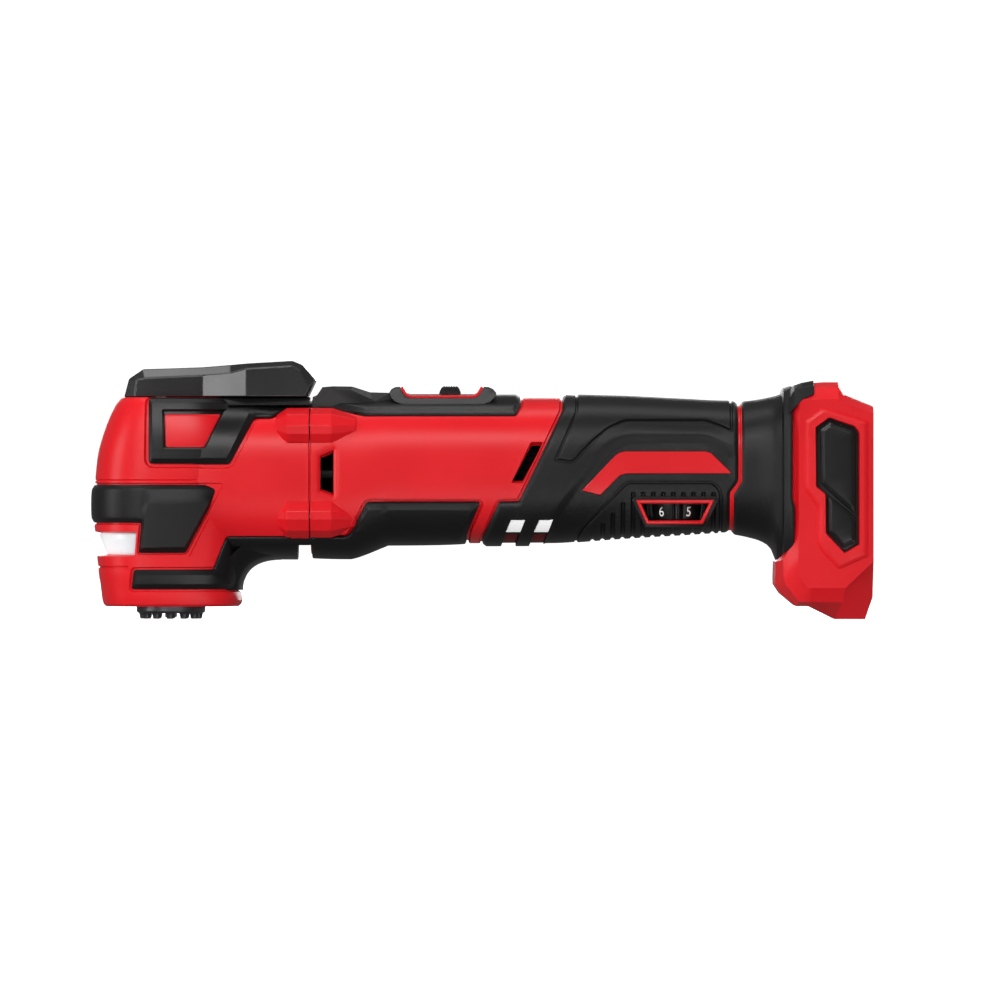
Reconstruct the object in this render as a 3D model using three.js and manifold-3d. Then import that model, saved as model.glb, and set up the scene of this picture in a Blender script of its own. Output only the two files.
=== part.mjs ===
// Cordless oscillating multi-tool. Millimetres, +X from head to battery foot, +Z up.
// It rests on its holder pins and on the foot.
import * as THREE from "three";
import { mergeVertices } from "three/addons/utils/BufferGeometryUtils.js";
import Module from "manifold-3d";

const wasm = await Module();
wasm.setup();

// Driving dimensions.
const SPINDLE_X = -113.7;
const MOTOR_Z = 53.5;
const SPLIT_X = -62.5;
const GAP = 0.3;
const WALL = 2.5;
const PANEL = 1.2;
const ROUNDNESS = 2.8;
const RING_POINTS = 24;
const PIVOT_X = -117;
const PIVOT_Z = 82;
const CAM_RADIUS = 11.2;
const CAM_OFFSET = 1.58;
const CAM_ANGLE = (130 * Math.PI) / 180;
const DIAL_X = 70.5;
const DIAL_Y = -11;
const DIAL_RADIUS = 12.5;
const ECCENTRIC = 0.7;
const FAN_BLADES = 12;
const FOOT_REAR = 142.5;
const BAY_FRONT = 118;

const COLOURS = {
  red: "#c9202b",
  rubber: "#2b2b2e",
  black: "#1d1d20",
  lever: "#333338",
  steel: "#55565c",
  bright: "#b9bbc0",
  copper: "#a8673a",
  board: "#1f5a3a",
  lens: "#f2f3ee",
};

// ---- basic solids ---------------------------------------------------------------------------------------

function solid(geometry) {
  const bare = geometry.clone();
  bare.deleteAttribute("normal");
  bare.deleteAttribute("uv");
  const merged = mergeVertices(bare, 1e-4);
  return new wasm.Manifold(
    new wasm.Mesh({
      numProp: 3,
      vertProperties: new Float32Array(merged.attributes.position.array),
      triVerts: new Uint32Array(merged.index.array),
    }),
  );
}

function join(...pieces) {
  return pieces.reduce((whole, piece) => whole.add(piece));
}

// The largest body of a cut piece, without the crumbs a cut may leave.
function mainBody(piece) {
  return piece.decompose().reduce((best, body) => (body.volume() > best.volume() ? body : best));
}

function box(x0, x1, y0, y1, z0, z1) {
  const geometry = new THREE.BoxGeometry(x1 - x0, y1 - y0, z1 - z0);
  geometry.translate((x0 + x1) / 2, (y0 + y1) / 2, (z0 + z1) / 2);
  return solid(geometry);
}

// A side outline given as [x, z] points, extruded across the tool.
function prism(outline, y0, y1) {
  const shape = new THREE.Shape(outline.map(([x, z]) => new THREE.Vector2(x, z)));
  const geometry = new THREE.ExtrudeGeometry(shape, { depth: y1 - y0, bevelEnabled: false });
  geometry.rotateX(Math.PI / 2);
  geometry.translate(0, y1, 0);
  return solid(geometry);
}

function rodX(radius, x0, x1, y, z, sides = 20) {
  const geometry = new THREE.CylinderGeometry(radius, radius, x1 - x0, sides);
  geometry.rotateZ(Math.PI / 2);
  geometry.translate((x0 + x1) / 2, y, z);
  return solid(geometry);
}

function rodY(radius, y0, y1, x, z, sides = 16) {
  const geometry = new THREE.CylinderGeometry(radius, radius, y1 - y0, sides);
  geometry.translate(x, (y0 + y1) / 2, z);
  return solid(geometry);
}

function rodZ(radius, z0, z1, x, y, sides = 24) {
  const geometry = new THREE.CylinderGeometry(radius, radius, z1 - z0, sides);
  geometry.rotateX(Math.PI / 2);
  geometry.translate(x, y, (z0 + z1) / 2);
  return solid(geometry);
}

// A closed profile of [radius, height] points turned about the spindle axis.
function turnedZ(profile, sides = 24) {
  const points = [...profile, profile[0]].map(([r, z]) => new THREE.Vector2(r, z));
  const geometry = new THREE.LatheGeometry(points, sides);
  geometry.rotateX(Math.PI / 2);
  geometry.scale(1, -1, 1);
  geometry.translate(SPINDLE_X, 0, 0);
  return facingOut(geometry);
}

// A closed surface whose faces may all point inwards, turned to point outwards.
function facingOut(geometry) {
  const bare = geometry.clone();
  bare.deleteAttribute("normal");
  bare.deleteAttribute("uv");
  const merged = mergeVertices(bare, 1e-4);
  const place = merged.attributes.position;
  const faces = [...merged.index.array];
  const corner = (i) => new THREE.Vector3().fromBufferAttribute(place, faces[i]);
  const kept = [];
  let volume = 0;
  for (let i = 0; i < faces.length; i += 3) {
    const [a, b, c] = [corner(i), corner(i + 1), corner(i + 2)];
    volume += a.dot(b.clone().cross(c));
    const distinct = new Set([faces[i], faces[i + 1], faces[i + 2]]).size === 3;
    if (distinct) kept.push([faces[i], faces[i + 1], faces[i + 2]]);
  }
  const turned = kept.flatMap(([a, b, c]) => (volume < 0 ? [a, c, b] : [a, b, c]));
  merged.setIndex(turned);
  return solid(merged);
}

// A solid through closed rings of [x, y, z] points; flat names the two axes its end rings lie across.
function loft(rings, flat) {
  const count = rings[0].length;
  const faces = [];
  rings.slice(1).forEach((ring, k) => {
    ring.forEach((point, i) => {
      const j = (i + 1) % count;
      const [a, b] = [k * count, (k + 1) * count];
      faces.push([a + i, a + j, b + j], [a + i, b + j, b + i]);
    });
  });
  const cap = (ring, base, reversed) => {
    const flatRing = ring.map((p) => new THREE.Vector2(p[flat[0]], p[flat[1]]));
    const ringArea = THREE.ShapeUtils.area(flatRing);
    for (const [a, b, c] of THREE.ShapeUtils.triangulateShape(flatRing, [])) {
      const area = THREE.ShapeUtils.area([flatRing[a], flatRing[b], flatRing[c]]);
      const same = area * ringArea > 0;
      faces.push(same === reversed ? [base + a, base + c, base + b] : [base + a, base + b, base + c]);
    }
  };
  cap(rings[0], 0, true);
  cap(rings[rings.length - 1], (rings.length - 1) * count, false);
  const geometry = new THREE.BufferGeometry();
  geometry.setAttribute("position", new THREE.Float32BufferAttribute(rings.flat(2), 3));
  geometry.setIndex(faces.flat());
  return facingOut(geometry);
}

// ---- the outer skin, at any distance from the moulded surface -------------------------------------------

function rounded(value) {
  return Math.sign(value) * Math.abs(value) ** (2 / ROUNDNESS);
}

function ringAngles() {
  return Array.from({ length: RING_POINTS }, (_, i) => (i * 2 * Math.PI) / RING_POINTS);
}

function barrel(stations, offset) {
  const rings = stations.map(([x, top, bottom, halfWidth]) => {
    const middle = (top + bottom) / 2;
    const halfHeight = (top - bottom) / 2 + offset;
    return ringAngles().map((angle) => [
      x,
      (halfWidth + offset) * rounded(Math.cos(angle)),
      middle + halfHeight * rounded(Math.sin(angle)),
    ]);
  });
  return loft(rings, [1, 2]);
}

// The head's upright column: each station is [z, front x, rear x, half width].
function column(offset) {
  const stations = [
    [4.6, -137.6, -88.6, 24.2],
    [6.6, -138.6, -87.4, 25.2],
    [19, -139.9, -85.9, 26.6],
    [42, -141.3, -85.5, 27.2],
    [60, -139.9, -85.5, 27.2],
    [69, -138.1, -86, 26],
    [76, -135.1, -88, 23.8],
    [80.7, -131.9, -90, 21.2],
  ];
  const last = stations.length - 1;
  const rings = stations.map(([z, front, rear, halfWidth], i) => {
    const height = z + (i === last ? offset : 0) - (i === 0 ? offset : 0);
    return ringAngles().map((angle) => {
      const reach = Math.cos(angle) < 0 ? SPINDLE_X - front : rear - SPINDLE_X;
      return [
        SPINDLE_X + (reach + offset) * rounded(Math.cos(angle)),
        (halfWidth + offset) * rounded(Math.sin(angle)),
        height,
      ];
    });
  });
  return loft(rings, [0, 1]);
}

const HEAD_BARREL = [
  [-104, 79.7, 22.4, 27.2],
  [-67.4, 79.7, 22.4, 27.4],
  [-67.2, 79.7, 27.7, 27.4],
  [SPLIT_X - GAP, 79.7, 27.7, 27.5],
];

const HANDLE_BARREL = [
  [SPLIT_X + GAP, 80.4, 22.3, 27.5],
  [-47.3, 80.6, 22.3, 27.5],
  [-34.5, 80.8, 27.4, 27.5],
  [27, 80.8, 27.7, 27.2],
  [34, 80.6, 28.1, 26.9],
  [50, 80.2, 29.3, 26.2],
  [73, 79.1, 30.7, 25.5],
  [90, 78.4, 31.6, 25],
  [99.8, 79.4, 29.9, 25.6],
  [105.9, 80.6, 27.2, 26.8],
  [113.5, 83.4, 21.5, 29.2],
];

// The foot's side outline: [core x, z], [shoulder x, z] and [side face x, z] of each corner.
const FOOT_CORNERS = [
  [112.8, 84.2, 113.6, 82, 115.9, 79.9],
  [120.7, 86, 121, 84, 121, 79.9],
  [129.8, 86.3, 129.8, 84, 129.8, 79.9],
  [131.9, 81.9, 131.9, 80.6, 131.9, 78.8],
  [FOOT_REAR, 77.6, FOOT_REAR, 76.4, FOOT_REAR, 74.8],
  [FOOT_REAR, 8, FOOT_REAR, 17.7, FOOT_REAR, 21.2],
  [139.7, 0, 136.8, 11.9, 137.2, 16.1],
  [128.8, 0, 131.3, 6.2, 132.3, 11.4],
  [119.2, 4.7, 119.6, 6.3, 121, 11.4],
  [114.6, 4.7, 115.5, 6.4, 118.6, 11.4],
  [109.2, 9.2, 110.6, 12.6, 115.2, 15.9],
  [106.9, 12.6, 109.8, 15.6, 115.2, 20],
  [106.9, 20.7, 109.4, 22, 115.2, 28],
  [110.5, 50, 110.5, 50, 115.4, 50],
  [111, 80.5, 111.5, 78.5, 115.7, 76.5],
];
const FOOT_HALF_WIDTHS = [22, 28.5, 31.5];

function foot(offset) {
  const centre = [126, 43];
  const grown = (x, z) => {
    const away = new THREE.Vector2(x - centre[0], z - centre[1]).normalize();
    return [x === FOOT_REAR ? x : x + away.x * offset, Math.max(0, z + away.y * offset)];
  };
  const levels = [2, 1, 0, 0, 1, 2];
  const rings = levels.map((level, i) => {
    const y = (i < 3 ? -1 : 1) * (FOOT_HALF_WIDTHS[level] + offset);
    return FOOT_CORNERS.map((corner) => {
      const [x, z] = grown(corner[2 * level], corner[2 * level + 1]);
      return [x, y, z];
    });
  });
  return loft(rings, [0, 2]);
}

// Faceted bosses on the four corners of the head joint.
function ears(offset) {
  const upper = [[20, 77], [24, 75.7], [27.2, 74.5], [29.3, 70.3], [28.9, 67.4], [27.2, 64.5], [20, 64.5]];
  const lower = [[20, 43], [27.2, 43], [28.9, 39.3], [29.1, 36.4], [27.4, 32.2], [23.5, 29.9], [20, 29.9]];
  const build = (profile, side) => {
    const middle = [20, profile.reduce((sum, p) => sum + p[1], 0) / profile.length];
    const lengths = [[-74.8 - offset, 0.72], [-70.8, 1], [-54.5, 1], [-46.2 + offset, 0.82]];
    const rings = lengths.map(([x, size]) =>
      profile.map(([y, z]) => {
        const out = new THREE.Vector2(y - middle[0], z - middle[1]);
        const reach = out.length();
        out.multiplyScalar((size * reach + offset) / reach);
        return [x, side * (middle[0] + out.x), middle[1] + out.y];
      }),
    );
    return loft(rings, [1, 2]);
  };
  return join(build(upper, -1), build(upper, 1), build(lower, -1), build(lower, 1));
}

const IN_FRONT = box(-200, SPLIT_X - GAP, -60, 60, -20, 120);
const BEHIND = box(SPLIT_X + GAP, 200, -60, 60, -20, 120);
const SIDES = {
  left: box(-200, 200, -60, -GAP / 2, -20, 120),
  right: box(-200, 200, GAP / 2, 60, -20, 120),
};

function headBody(offset) {
  return join(column(offset), barrel(HEAD_BARREL, offset), ears(offset).intersect(IN_FRONT));
}

function handleBody(offset) {
  return join(barrel(HANDLE_BARREL, offset), foot(offset), ears(offset).intersect(BEHIND));
}

// ---- outlines on the side of the tool, [x, z] -----------------------------------------------------------

const CROWN = [
  [-121.4, 80.4], [-121.4, 56.5], [-91.4, 56.4], [-82.7, 73.9],
  [-76.4, 73.9], [-71.8, 76.7], [-60, 76.7], [-60, 80.4],
];
const BADGE_RECESS = [[-116.4, 76.5], [-92.9, 76.5], [-100.2, 61.9], [-116, 61.9]];
const BADGE = [[-115.4, 74.7], [-94.9, 74.7], [-101, 62.6], [-114.9, 62.6]];
const BUMPER = [[-150, 49.1], [-96.3, 48.9], [-107.5, 24.3], [-124.9, 24.3], [-124.2, 35], [-150, 35.2]];
const HEAD_STRIP = [
  [-127, 18], [-127.9, 10.8], [-87.4, 10.9], [-85.7, 18.8], [-84.2, 20.9], [-80.8, 20], [-68.2, 20],
  [-68, 28.6], [-60, 28.6], [-60, 29.6], [-92.5, 29.6], [-97, 18.3],
];
const LOWER_PAD = [
  [-61.8, 20], [-47, 20], [-34, 24], [-8.2, 24], [-5.7, 27.8],
  [-5.3, 31], [-0.4, 42.5], [-42, 42.5], [-47.6, 30.7],
  [-48.7, 29.7], [-61.8, 29.6],
];
const GRIP = [
  [30, 84], [29.3, 76.1], [13.6, 42.9], [6.4, 42.7], [0, 28.7],
  [2.1, 24], [90.2, 24], [90.2, 45.8], [93.2, 50.4], [93.2, 84],
];
const COLLAR = [
  [95.4, 90], [95.4, 50.4], [92.3, 45.8], [92.3, 18],
  [107, 21], [109.9, 22.6], [113.9, 26.2], [114, 41.9],
  [112.8, 43.7], [113.1, 76.9], [116.7, 81.8], [121, 83.3], [121, 90],
];
const FOOT_WINDOW = [
  [121.3, 69.9], [126.4, 73.6], [135.8, 70.3], [137.5, 67.9],
  [137.5, 27.1], [131.9, 23.9], [125, 31.3], [124.9, 45.5],
  [121.6, 48.2],
];
const FOOT_INSERT = [
  [122.8, 69.1], [126.7, 72], [135.1, 69], [136.4, 67.3], [136.4, 28],
  [131.8, 25.5], [126, 31.8], [126, 46], [122.8, 49],
];
const DIAL_FRAME = [[55, 44.6], [86.3, 44.6], [81.4, 33.2], [59.1, 33.2]];
const DIAL_WINDOW = [[57.9, 42.2], [82.6, 42.2], [79.6, 35.6], [60.6, 35.6]];
const FAN_VENT = [[-59, 59.7], [-53.7, 62], [-53.7, 44.7], [-59, 46.8]];
const SLOT_VENT = [[18, 64.6], [22.4, 64.6], [15.1, 49.6], [10.7, 49.7]];
const COVER = [
  [-61.9, 76.9], [-61.9, 81.2], [-60, 81.5], [-58.1, 84.5],
  [-54.1, 84.8], [-47.1, 84.7], [-41.2, 82.9], [-34.3, 82.9],
  [-33.2, 83.9], [-30.5, 84.6], [1.4, 84.7], [4, 83.7],
  [4.8, 82.3], [12.3, 82.3], [14.2, 81.5], [14.5, 77.8],
  [12.6, 74.4], [-42.9, 74.4], [-54.3, 77.1],
];
const TUB = [[-30.5, 86], [-27.1, 81.4], [-27.1, 70], [-1.9, 70], [-1.9, 81.4], [1, 86]];

const HANDLE_SCREWS = [[0.5, 38], [30, 70], [92, 68], [92, 38]];
const HEAD_SCREWS = [[-1, 70.3], [1, 70.3], [-1, 37], [1, 37]];
const HEAD_SCREW_Y = 25.6;

// ---- the moulded shells ---------------------------------------------------------------------------------

function leverSwing() {
  const profile = [[0, -15.9], [11, -15.9], [14, -12.4], [14, 12.4], [11, 15.9], [0, 15.9]];
  const geometry = new THREE.LatheGeometry(profile.map(([r, y]) => new THREE.Vector2(r, y)), 28);
  geometry.translate(PIVOT_X, 0, PIVOT_Z);
  return join(facingOut(geometry), box(PIVOT_X, -102.6, -15.9, 15.9, 68, 90));
}

function headScrewHoles() {
  const holes = HEAD_SCREWS.map(([side, z]) => rodX(1.8, -71.5, -51, side * HEAD_SCREW_Y, z, 8));
  return join(...holes);
}

function headShell(skin) {
  const hollow = join(column(-WALL), barrel([[-104, 79.7, 22.4, 27.2], [-60, 79.7, 27.7, 27.5]], -WALL));
  const lensSlot = box(-150, -125.5, -40, 40, 22.9, 31.9);
  const spindleHole = rodZ(13.2, 0, 10, SPINDLE_X, 0);
  const rib = box(-82, -80, -40, 40, 10, 90).subtract(rodX(22, -85, -75, 0, MOTOR_Z, 24));
  return skin
    .subtract(hollow.subtract(rib))
    .subtract(join(lensSlot, spindleHole, leverSwing(), headScrewHoles()));
}

function screwPosts() {
  return join(...HANDLE_SCREWS.map(([x, z]) => rodY(3.8, -40, 40, x, z, 10)));
}

function screwHoles() {
  const holes = HANDLE_SCREWS.map(([x, z]) => join(rodY(1.75, -9, 15, x, z, 8), rodY(3.4, 14, 40, x, z, 12)));
  return join(...holes);
}

function motorSeats() {
  const seat = (x0, x1, radius) =>
    box(x0, x1, -40, 40, 10, 73).subtract(rodX(radius, x0 - 1, x1 + 1, 0, MOTOR_Z, 20));
  return join(seat(-44, -42, 19.3), seat(-24, -22, 19.3), seat(-12.5, -7.5, 8.3));
}

function batteryBay() {
  const rails = join(box(117, 141, -21.5, -17.5, 60, 64), box(117, 141, 17.5, 21.5, 60, 64));
  return box(BAY_FRONT, 150, -21, 21, 10, 72).subtract(rails);
}

function handleShell(skin) {
  const inner = HANDLE_BARREL.map((station) => [...station]);
  inner[0][0] = SPLIT_X - 1;
  const hollow = barrel(inner, -WALL);
  const vents = [-1, 1].flatMap((side) => {
    const [near, far] = side < 0 ? [-40, -20] : [20, 40];
    return [prism(FAN_VENT, near, far), prism(SLOT_VENT, near, far)];
  });
  const window = prism(FOOT_WINDOW, -40, 40).subtract(box(0, 200, -29.5, 29.5, 0, 100));
  const dialHole = rodZ(DIAL_RADIUS + 0.6, 34, 43.8, DIAL_X, DIAL_Y, 32);
  const switchHole = box(-27.2, -1.8, -9, 9, 74, 90);
  return skin
    .subtract(hollow.subtract(screwPosts()).subtract(motorSeats()))
    .subtract(join(...vents, batteryBay(), window, dialHole, switchHole, screwHoles(), headScrewHoles()));
}

// ---- trim -----------------------------------------------------------------------------------------------

function skinPanel(skin, outline) {
  return skin.intersect(prism(outline, -60, 60));
}

function switchCover(outer, clearOfShell) {
  const saddle = outer.intersect(prism(COVER, -60, 60));
  const hump = prism(COVER, -14, 14);
  return mainBody(join(saddle, hump).subtract(clearOfShell).subtract(prism(TUB, -9, 9)));
}

function switchBezel() {
  const plate = box(-26.8, -2.2, -8.6, 8.6, 79.2, 81.2);
  return plate.subtract(box(-21.5, -9, -2.6, 2.6, 70, 90));
}

function switchButton() {
  const knob = prism([[-15.8, 81.5], [-14.2, 84.2], [-12, 84.7], [-9.6, 84.2], [-8, 81.5]], -6.5, 6.5);
  const stem = box(-14.2, -10.2, -2, 2, 74, 83);
  const slider = box(-15, 2, -4, 4, 73.6, 76);
  return join(knob, stem, slider);
}

function dialBezel(outer, clearOfShell) {
  const frame = prism(DIAL_FRAME, -60, 0).subtract(prism(DIAL_WINDOW, -60, 0));
  const wheelRoom = rodZ(DIAL_RADIUS + 0.5, 20, 60, DIAL_X, DIAL_Y, 32);
  return mainBody(outer.subtract(clearOfShell).intersect(frame).subtract(wheelRoom));
}

function ledLens() {
  const ring = column(-2.8).subtract(column(-5));
  return mainBody(ring.intersect(box(-150, -126, -40, 40, 23.2, 31.6)));
}

// ---- spindle, clamp and lever ---------------------------------------------------------------------------

function lever() {
  const corners = [
    [-130.5, 81.2, -126.6, 81.2, 15.4],
    [-128.7, 87.7, -125.9, 86.8, 15.4],
    [-123.5, 91.2, -122, 87.8, 15.4],
    [-101.8, 91.9, -101.8, 88.9, 15.4],
    [-91.8, 92.7, -91.8, 89.7, 16.9],
    [-85, 93.3, -85.8, 91, 18.5],
    [-69.8, 94.2, -69.8, 92, 18.5],
    [-65.5, 92.7, -66.5, 90.3, 18.3],
    [-60.5, 87.2, -63.2, 85, 17.5],
    [-63.6, 81.2, -64.6, 81.2, 17.5],
    [-85, 81.2, -85, 81.2, 18.5],
    [-101, 81.2, -101, 81.2, 15.4],
  ];
  const face = (side) => corners.map(([, , x, z, half]) => [x, side * half, z]);
  const core = (side) => corners.map(([x, z, , , half]) => [x, side * (half - 3.4), z]);
  const shape = loft([face(-1), core(-1), core(1), face(1)], [0, 2]);
  const hollow = prism(
    [
      [-128.3, 80], [-126.9, 86.6], [-122.8, 89.2], [-101, 89.9],
      [-85, 91.2], [-70, 92.1], [-67, 90.6], [-64.5, 80],
    ],
    -13.2,
    13.2,
  );
  const camX = PIVOT_X + CAM_OFFSET * Math.cos(CAM_ANGLE);
  const camZ = PIVOT_Z + CAM_OFFSET * Math.sin(CAM_ANGLE);
  const disc = rodY(CAM_RADIUS, -7, 7, camX, camZ, 40);
  const lowerHalf = box(-140, -100, -8, 8, 60, 88.9);
  const cam = disc.intersect(join(shape, box(-129.2, -100, -8, 8, 60, 84))).intersect(lowerHalf);
  const toe = box(-135, -125, -7.4, 7.4, 80, 85).subtract(rodY(CAM_RADIUS, -8, 8, camX, camZ, 40));
  const pinHole = rodY(2.08, -30, 30, PIVOT_X, PIVOT_Z);
  return mainBody(shape.subtract(hollow).add(cam).subtract(toe).subtract(pinHole));
}

function leverBracket() {
  const arm = [[-119.4, 79.4], [-106, 70.5], [-103.2, 70.5], [-103.2, 79], [-114.6, 84.6]];
  const lug = (y0, y1) => join(rodY(3.6, y0, y1, PIVOT_X, PIVOT_Z), prism(arm, y0, y1));
  const plate = box(-106, -103.2, -12, 12, 68.3, 79);
  return join(plate, lug(-12, -9), lug(9, 12)).subtract(rodY(2.08, -30, 30, PIVOT_X, PIVOT_Z));
}

function gearCase() {
  const outside = join(rodZ(16.5, 13, 68, SPINDLE_X, 0), rodX(21.5, -99, -61, 0, MOTOR_Z, 24));
  const cavity = join(
    rodZ(14, 25, 54, SPINDLE_X, 0),
    rodX(18.5, -106, -67, 0, MOTOR_Z, 24),
    rodZ(13.08, 10, 24.2, SPINDLE_X, 0),
    rodZ(11.08, 53, 61.2, SPINDLE_X, 0),
    rodZ(6.8, 5, 80, SPINDLE_X, 0),
    rodX(8.08, -70, -60, 0, MOTOR_Z),
  );
  return outside.subtract(cavity);
}

function bearing(inner, outer, z0, z1) {
  return turnedZ([[inner, z0], [outer, z0], [outer, z1], [inner, z1]]);
}

function spindle() {
  return turnedZ([[5, 5.8], [6, 5.8], [6, 61.5], [3.6, 61.5], [3.6, 16], [5, 16]]);
}

function spindleFork() {
  const hub = join(rodZ(9.5, 47.5, 54, SPINDLE_X, 0), box(-105.2, -101, -12.5, 12.5, 47.5, 54));
  const arms = join(box(-104, -86, 9.7, 12.5, 47.5, 58), box(-104, -86, -12.5, -9.7, 47.5, 58));
  return join(hub, arms).subtract(rodZ(6.05, 40, 60, SPINDLE_X, 0));
}

function accessoryHolder() {
  const flange = turnedZ([[5, 2], [11.8, 2], [12.5, 2.7], [12.5, 5.2], [5, 5.2]]);
  const pins = Array.from({ length: 12 }, (_, i) => {
    const angle = (i * Math.PI) / 6;
    const pin = new THREE.CylinderGeometry(1.7, 1.1, 2.4, 6);
    pin.rotateX(Math.PI / 2);
    pin.translate(SPINDLE_X + 9.9 * Math.cos(angle), 9.9 * Math.sin(angle), 1.2);
    return solid(pin);
  });
  return join(flange, ...pins);
}

function clampPlunger() {
  return turnedZ([[0, 15], [3, 15], [3, 69.7], [4.4, 69.7], [4.4, 71.3], [4, 71.7], [0, 71.7]], 16);
}

function clampSpring() {
  const turns = 4;
  const outside = [];
  for (let i = 0; i < turns; i++) {
    outside.push([5, 61.8 + i * 1.9], [4.3, 61.8 + i * 1.9 + 0.95]);
  }
  return turnedZ([[3.3, 61.8], ...outside, [5, 69.4], [3.3, 69.4]], 14);
}

function clampJaw(side) {
  const [near, far] = side < 0 ? [-4.3, -2.2] : [2.2, 4.3];
  const [lipNear, lipFar] = side < 0 ? [-6.4, -2.2] : [2.2, 6.4];
  const finger = box(SPINDLE_X - 2, SPINDLE_X + 2, near, far, 0.6, 12.1);
  return join(finger, box(SPINDLE_X - 2, SPINDLE_X + 2, lipNear, lipFar, 0.6, 1.7));
}

// ---- motor and electronics ------------------------------------------------------------------------------

function ringX(inner, outer, x0, x1, y = 0, z = MOTOR_Z, sides = 20) {
  return rodX(outer, x0, x1, y, z, sides).subtract(rodX(inner, x0 - 1, x1 + 1, y, z, sides));
}

function rotorShaft() {
  const journal = rodX(3.5, -96, -84, 0, MOTOR_Z + ECCENTRIC);
  return join(rodX(2.5, -85, -8, 0, MOTOR_Z), journal);
}

function fan() {
  const blades = Array.from({ length: FAN_BLADES }, (_, i) => {
    const blade = new THREE.BoxGeometry(6.5, 13, 1.1);
    blade.translate(-56.2, 12, 0);
    blade.rotateX((i * 2 * Math.PI) / FAN_BLADES);
    blade.translate(0, 0, MOTOR_Z);
    return solid(blade);
  });
  const backPlate = rodX(18.6, -54, -52.6, 0, MOTOR_Z, 24);
  const hub = rodX(6.5, -60, -52.6, 0, MOTOR_Z);
  return join(backPlate, hub, ...blades).subtract(rodX(2.56, -70, -40, 0, MOTOR_Z));
}

function terminalBlade(y) {
  return box(119.2, 134, y - 0.4, y + 0.4, 54, 62);
}

function terminalBlock() {
  const slots = [-5, 5].map((y) => box(118.9, 140, y - 0.7, y + 0.7, 53.7, 62.3));
  return box(118.3, 124, -10, 10, 51, 66).subtract(join(...slots));
}

function speedPot() {
  return join(rodZ(6, 43.9, 50.4, DIAL_X, DIAL_Y, 20), rodZ(2, 36, 44.5, DIAL_X, DIAL_Y, 16));
}

function speedDial() {
  const ridges = 24;
  const outline = Array.from({ length: ridges * 2 }, (_, i) => {
    const angle = (i * Math.PI) / ridges;
    const radius = DIAL_RADIUS - (i % 2) * 0.5;
    return new THREE.Vector2(radius * Math.cos(angle), radius * Math.sin(angle));
  });
  const geometry = new THREE.ExtrudeGeometry(new THREE.Shape(outline), { depth: 8, bevelEnabled: false });
  geometry.translate(DIAL_X, DIAL_Y, 35.2);
  return solid(geometry).subtract(rodZ(2.08, 20, 60, DIAL_X, DIAL_Y, 16));
}

function controlBoard() {
  const parts = [box(30, 40, -8, 4, 52, 60), box(46, 58, -10, 10, 52, 56)];
  return join(box(24, 86, -15, 15, 51, 52.6), ...parts);
}

function handleScrew([x, z]) {
  return join(rodY(1.4, -8.5, 14.8, x, z, 8), rodY(3, 14.3, 16.6, x, z, 10));
}

function headScrew([side, z]) {
  return rodX(1.4, -71, -51.5, side * HEAD_SCREW_Y, z, 8);
}

// ---- the assembly ---------------------------------------------------------------------------------------

const tool = new THREE.Group();
tool.name = "oscillating_multi_tool";

function add(name, piece, colour, metalness = 0) {
  const { numProp, vertProperties, triVerts } = piece.getMesh();
  const geometry = new THREE.BufferGeometry();
  const place = new Float32Array((vertProperties.length / numProp) * 3);
  for (let i = 0; i < place.length / 3; i++) {
    place.set(vertProperties.subarray(i * numProp, i * numProp + 3), i * 3);
  }
  geometry.setAttribute("position", new THREE.BufferAttribute(place, 3));
  geometry.setIndex(new THREE.BufferAttribute(triVerts, 1));
  geometry.computeVertexNormals();
  const material = new THREE.MeshStandardMaterial({ color: COLOURS[colour], metalness, roughness: 0.5 });
  const mesh = new THREE.Mesh(geometry, material);
  mesh.name = name;
  tool.add(mesh);
}

function addBothSides(name, piece, colour) {
  for (const [side, half] of Object.entries(SIDES)) {
    add(`${name}_${side}`, mainBody(piece.intersect(half)), colour);
  }
}

const headInner = headBody(GAP);
const headOuter = headBody(PANEL);
const handleInner = handleBody(GAP);
const handleOuter = handleBody(PANEL);
const headSkin = headOuter.subtract(headInner).intersect(IN_FRONT).subtract(leverSwing());
const handleSkin = handleOuter.subtract(handleInner).intersect(BEHIND);

addBothSides("head_shell", headShell(headBody(0)), "red");
addBothSides("handle_shell", handleShell(handleBody(0)), "red");
addBothSides("head_upper_cover", skinPanel(headSkin, CROWN).subtract(prism(BADGE_RECESS, -60, 60)), "black");
add("nose_bumper", mainBody(skinPanel(headSkin, BUMPER)), "rubber");
addBothSides("head_lower_grip", skinPanel(headSkin, HEAD_STRIP), "black");
addBothSides("badge", skinPanel(headSkin, BADGE), "red");
addBothSides("lower_pad", skinPanel(handleSkin, LOWER_PAD), "rubber");
const dialRoom = prism(DIAL_FRAME, -60, 0);
addBothSides("handle_grip", skinPanel(handleSkin, GRIP).subtract(dialRoom).subtract(screwHoles()), "rubber");
addBothSides("foot_collar", skinPanel(handleSkin, COLLAR), "rubber");
const footMiddle = box(100, 150, -29.8, 29.8, 0, 100);
addBothSides("foot_insert", prism(FOOT_INSERT, -31, 31).subtract(footMiddle), "black");
add("dial_bezel", dialBezel(handleOuter, handleInner), "red");
add("switch_cover", switchCover(handleOuter, handleInner), "black");
add("switch_bezel", switchBezel(), "red");
add("led_lens", ledLens(), "lens");
add("led_board", box(-132, -130.6, -9, 9, 24, 31), "board");
add("gear_case", gearCase(), "bright", 0.8);
add("spindle_bearing_upper", bearing(6.06, 11, 54.9, 61), "bright", 0.9);
add("spindle_bearing_lower", bearing(6.06, 13, 14, 24), "bright", 0.9);
add("motor_stator", ringX(11, 19, -49, -17), "steel", 0.6);
add("motor_bearing_front", ringX(2.56, 8, -66.6, -61.4), "bright", 0.9);
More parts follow.
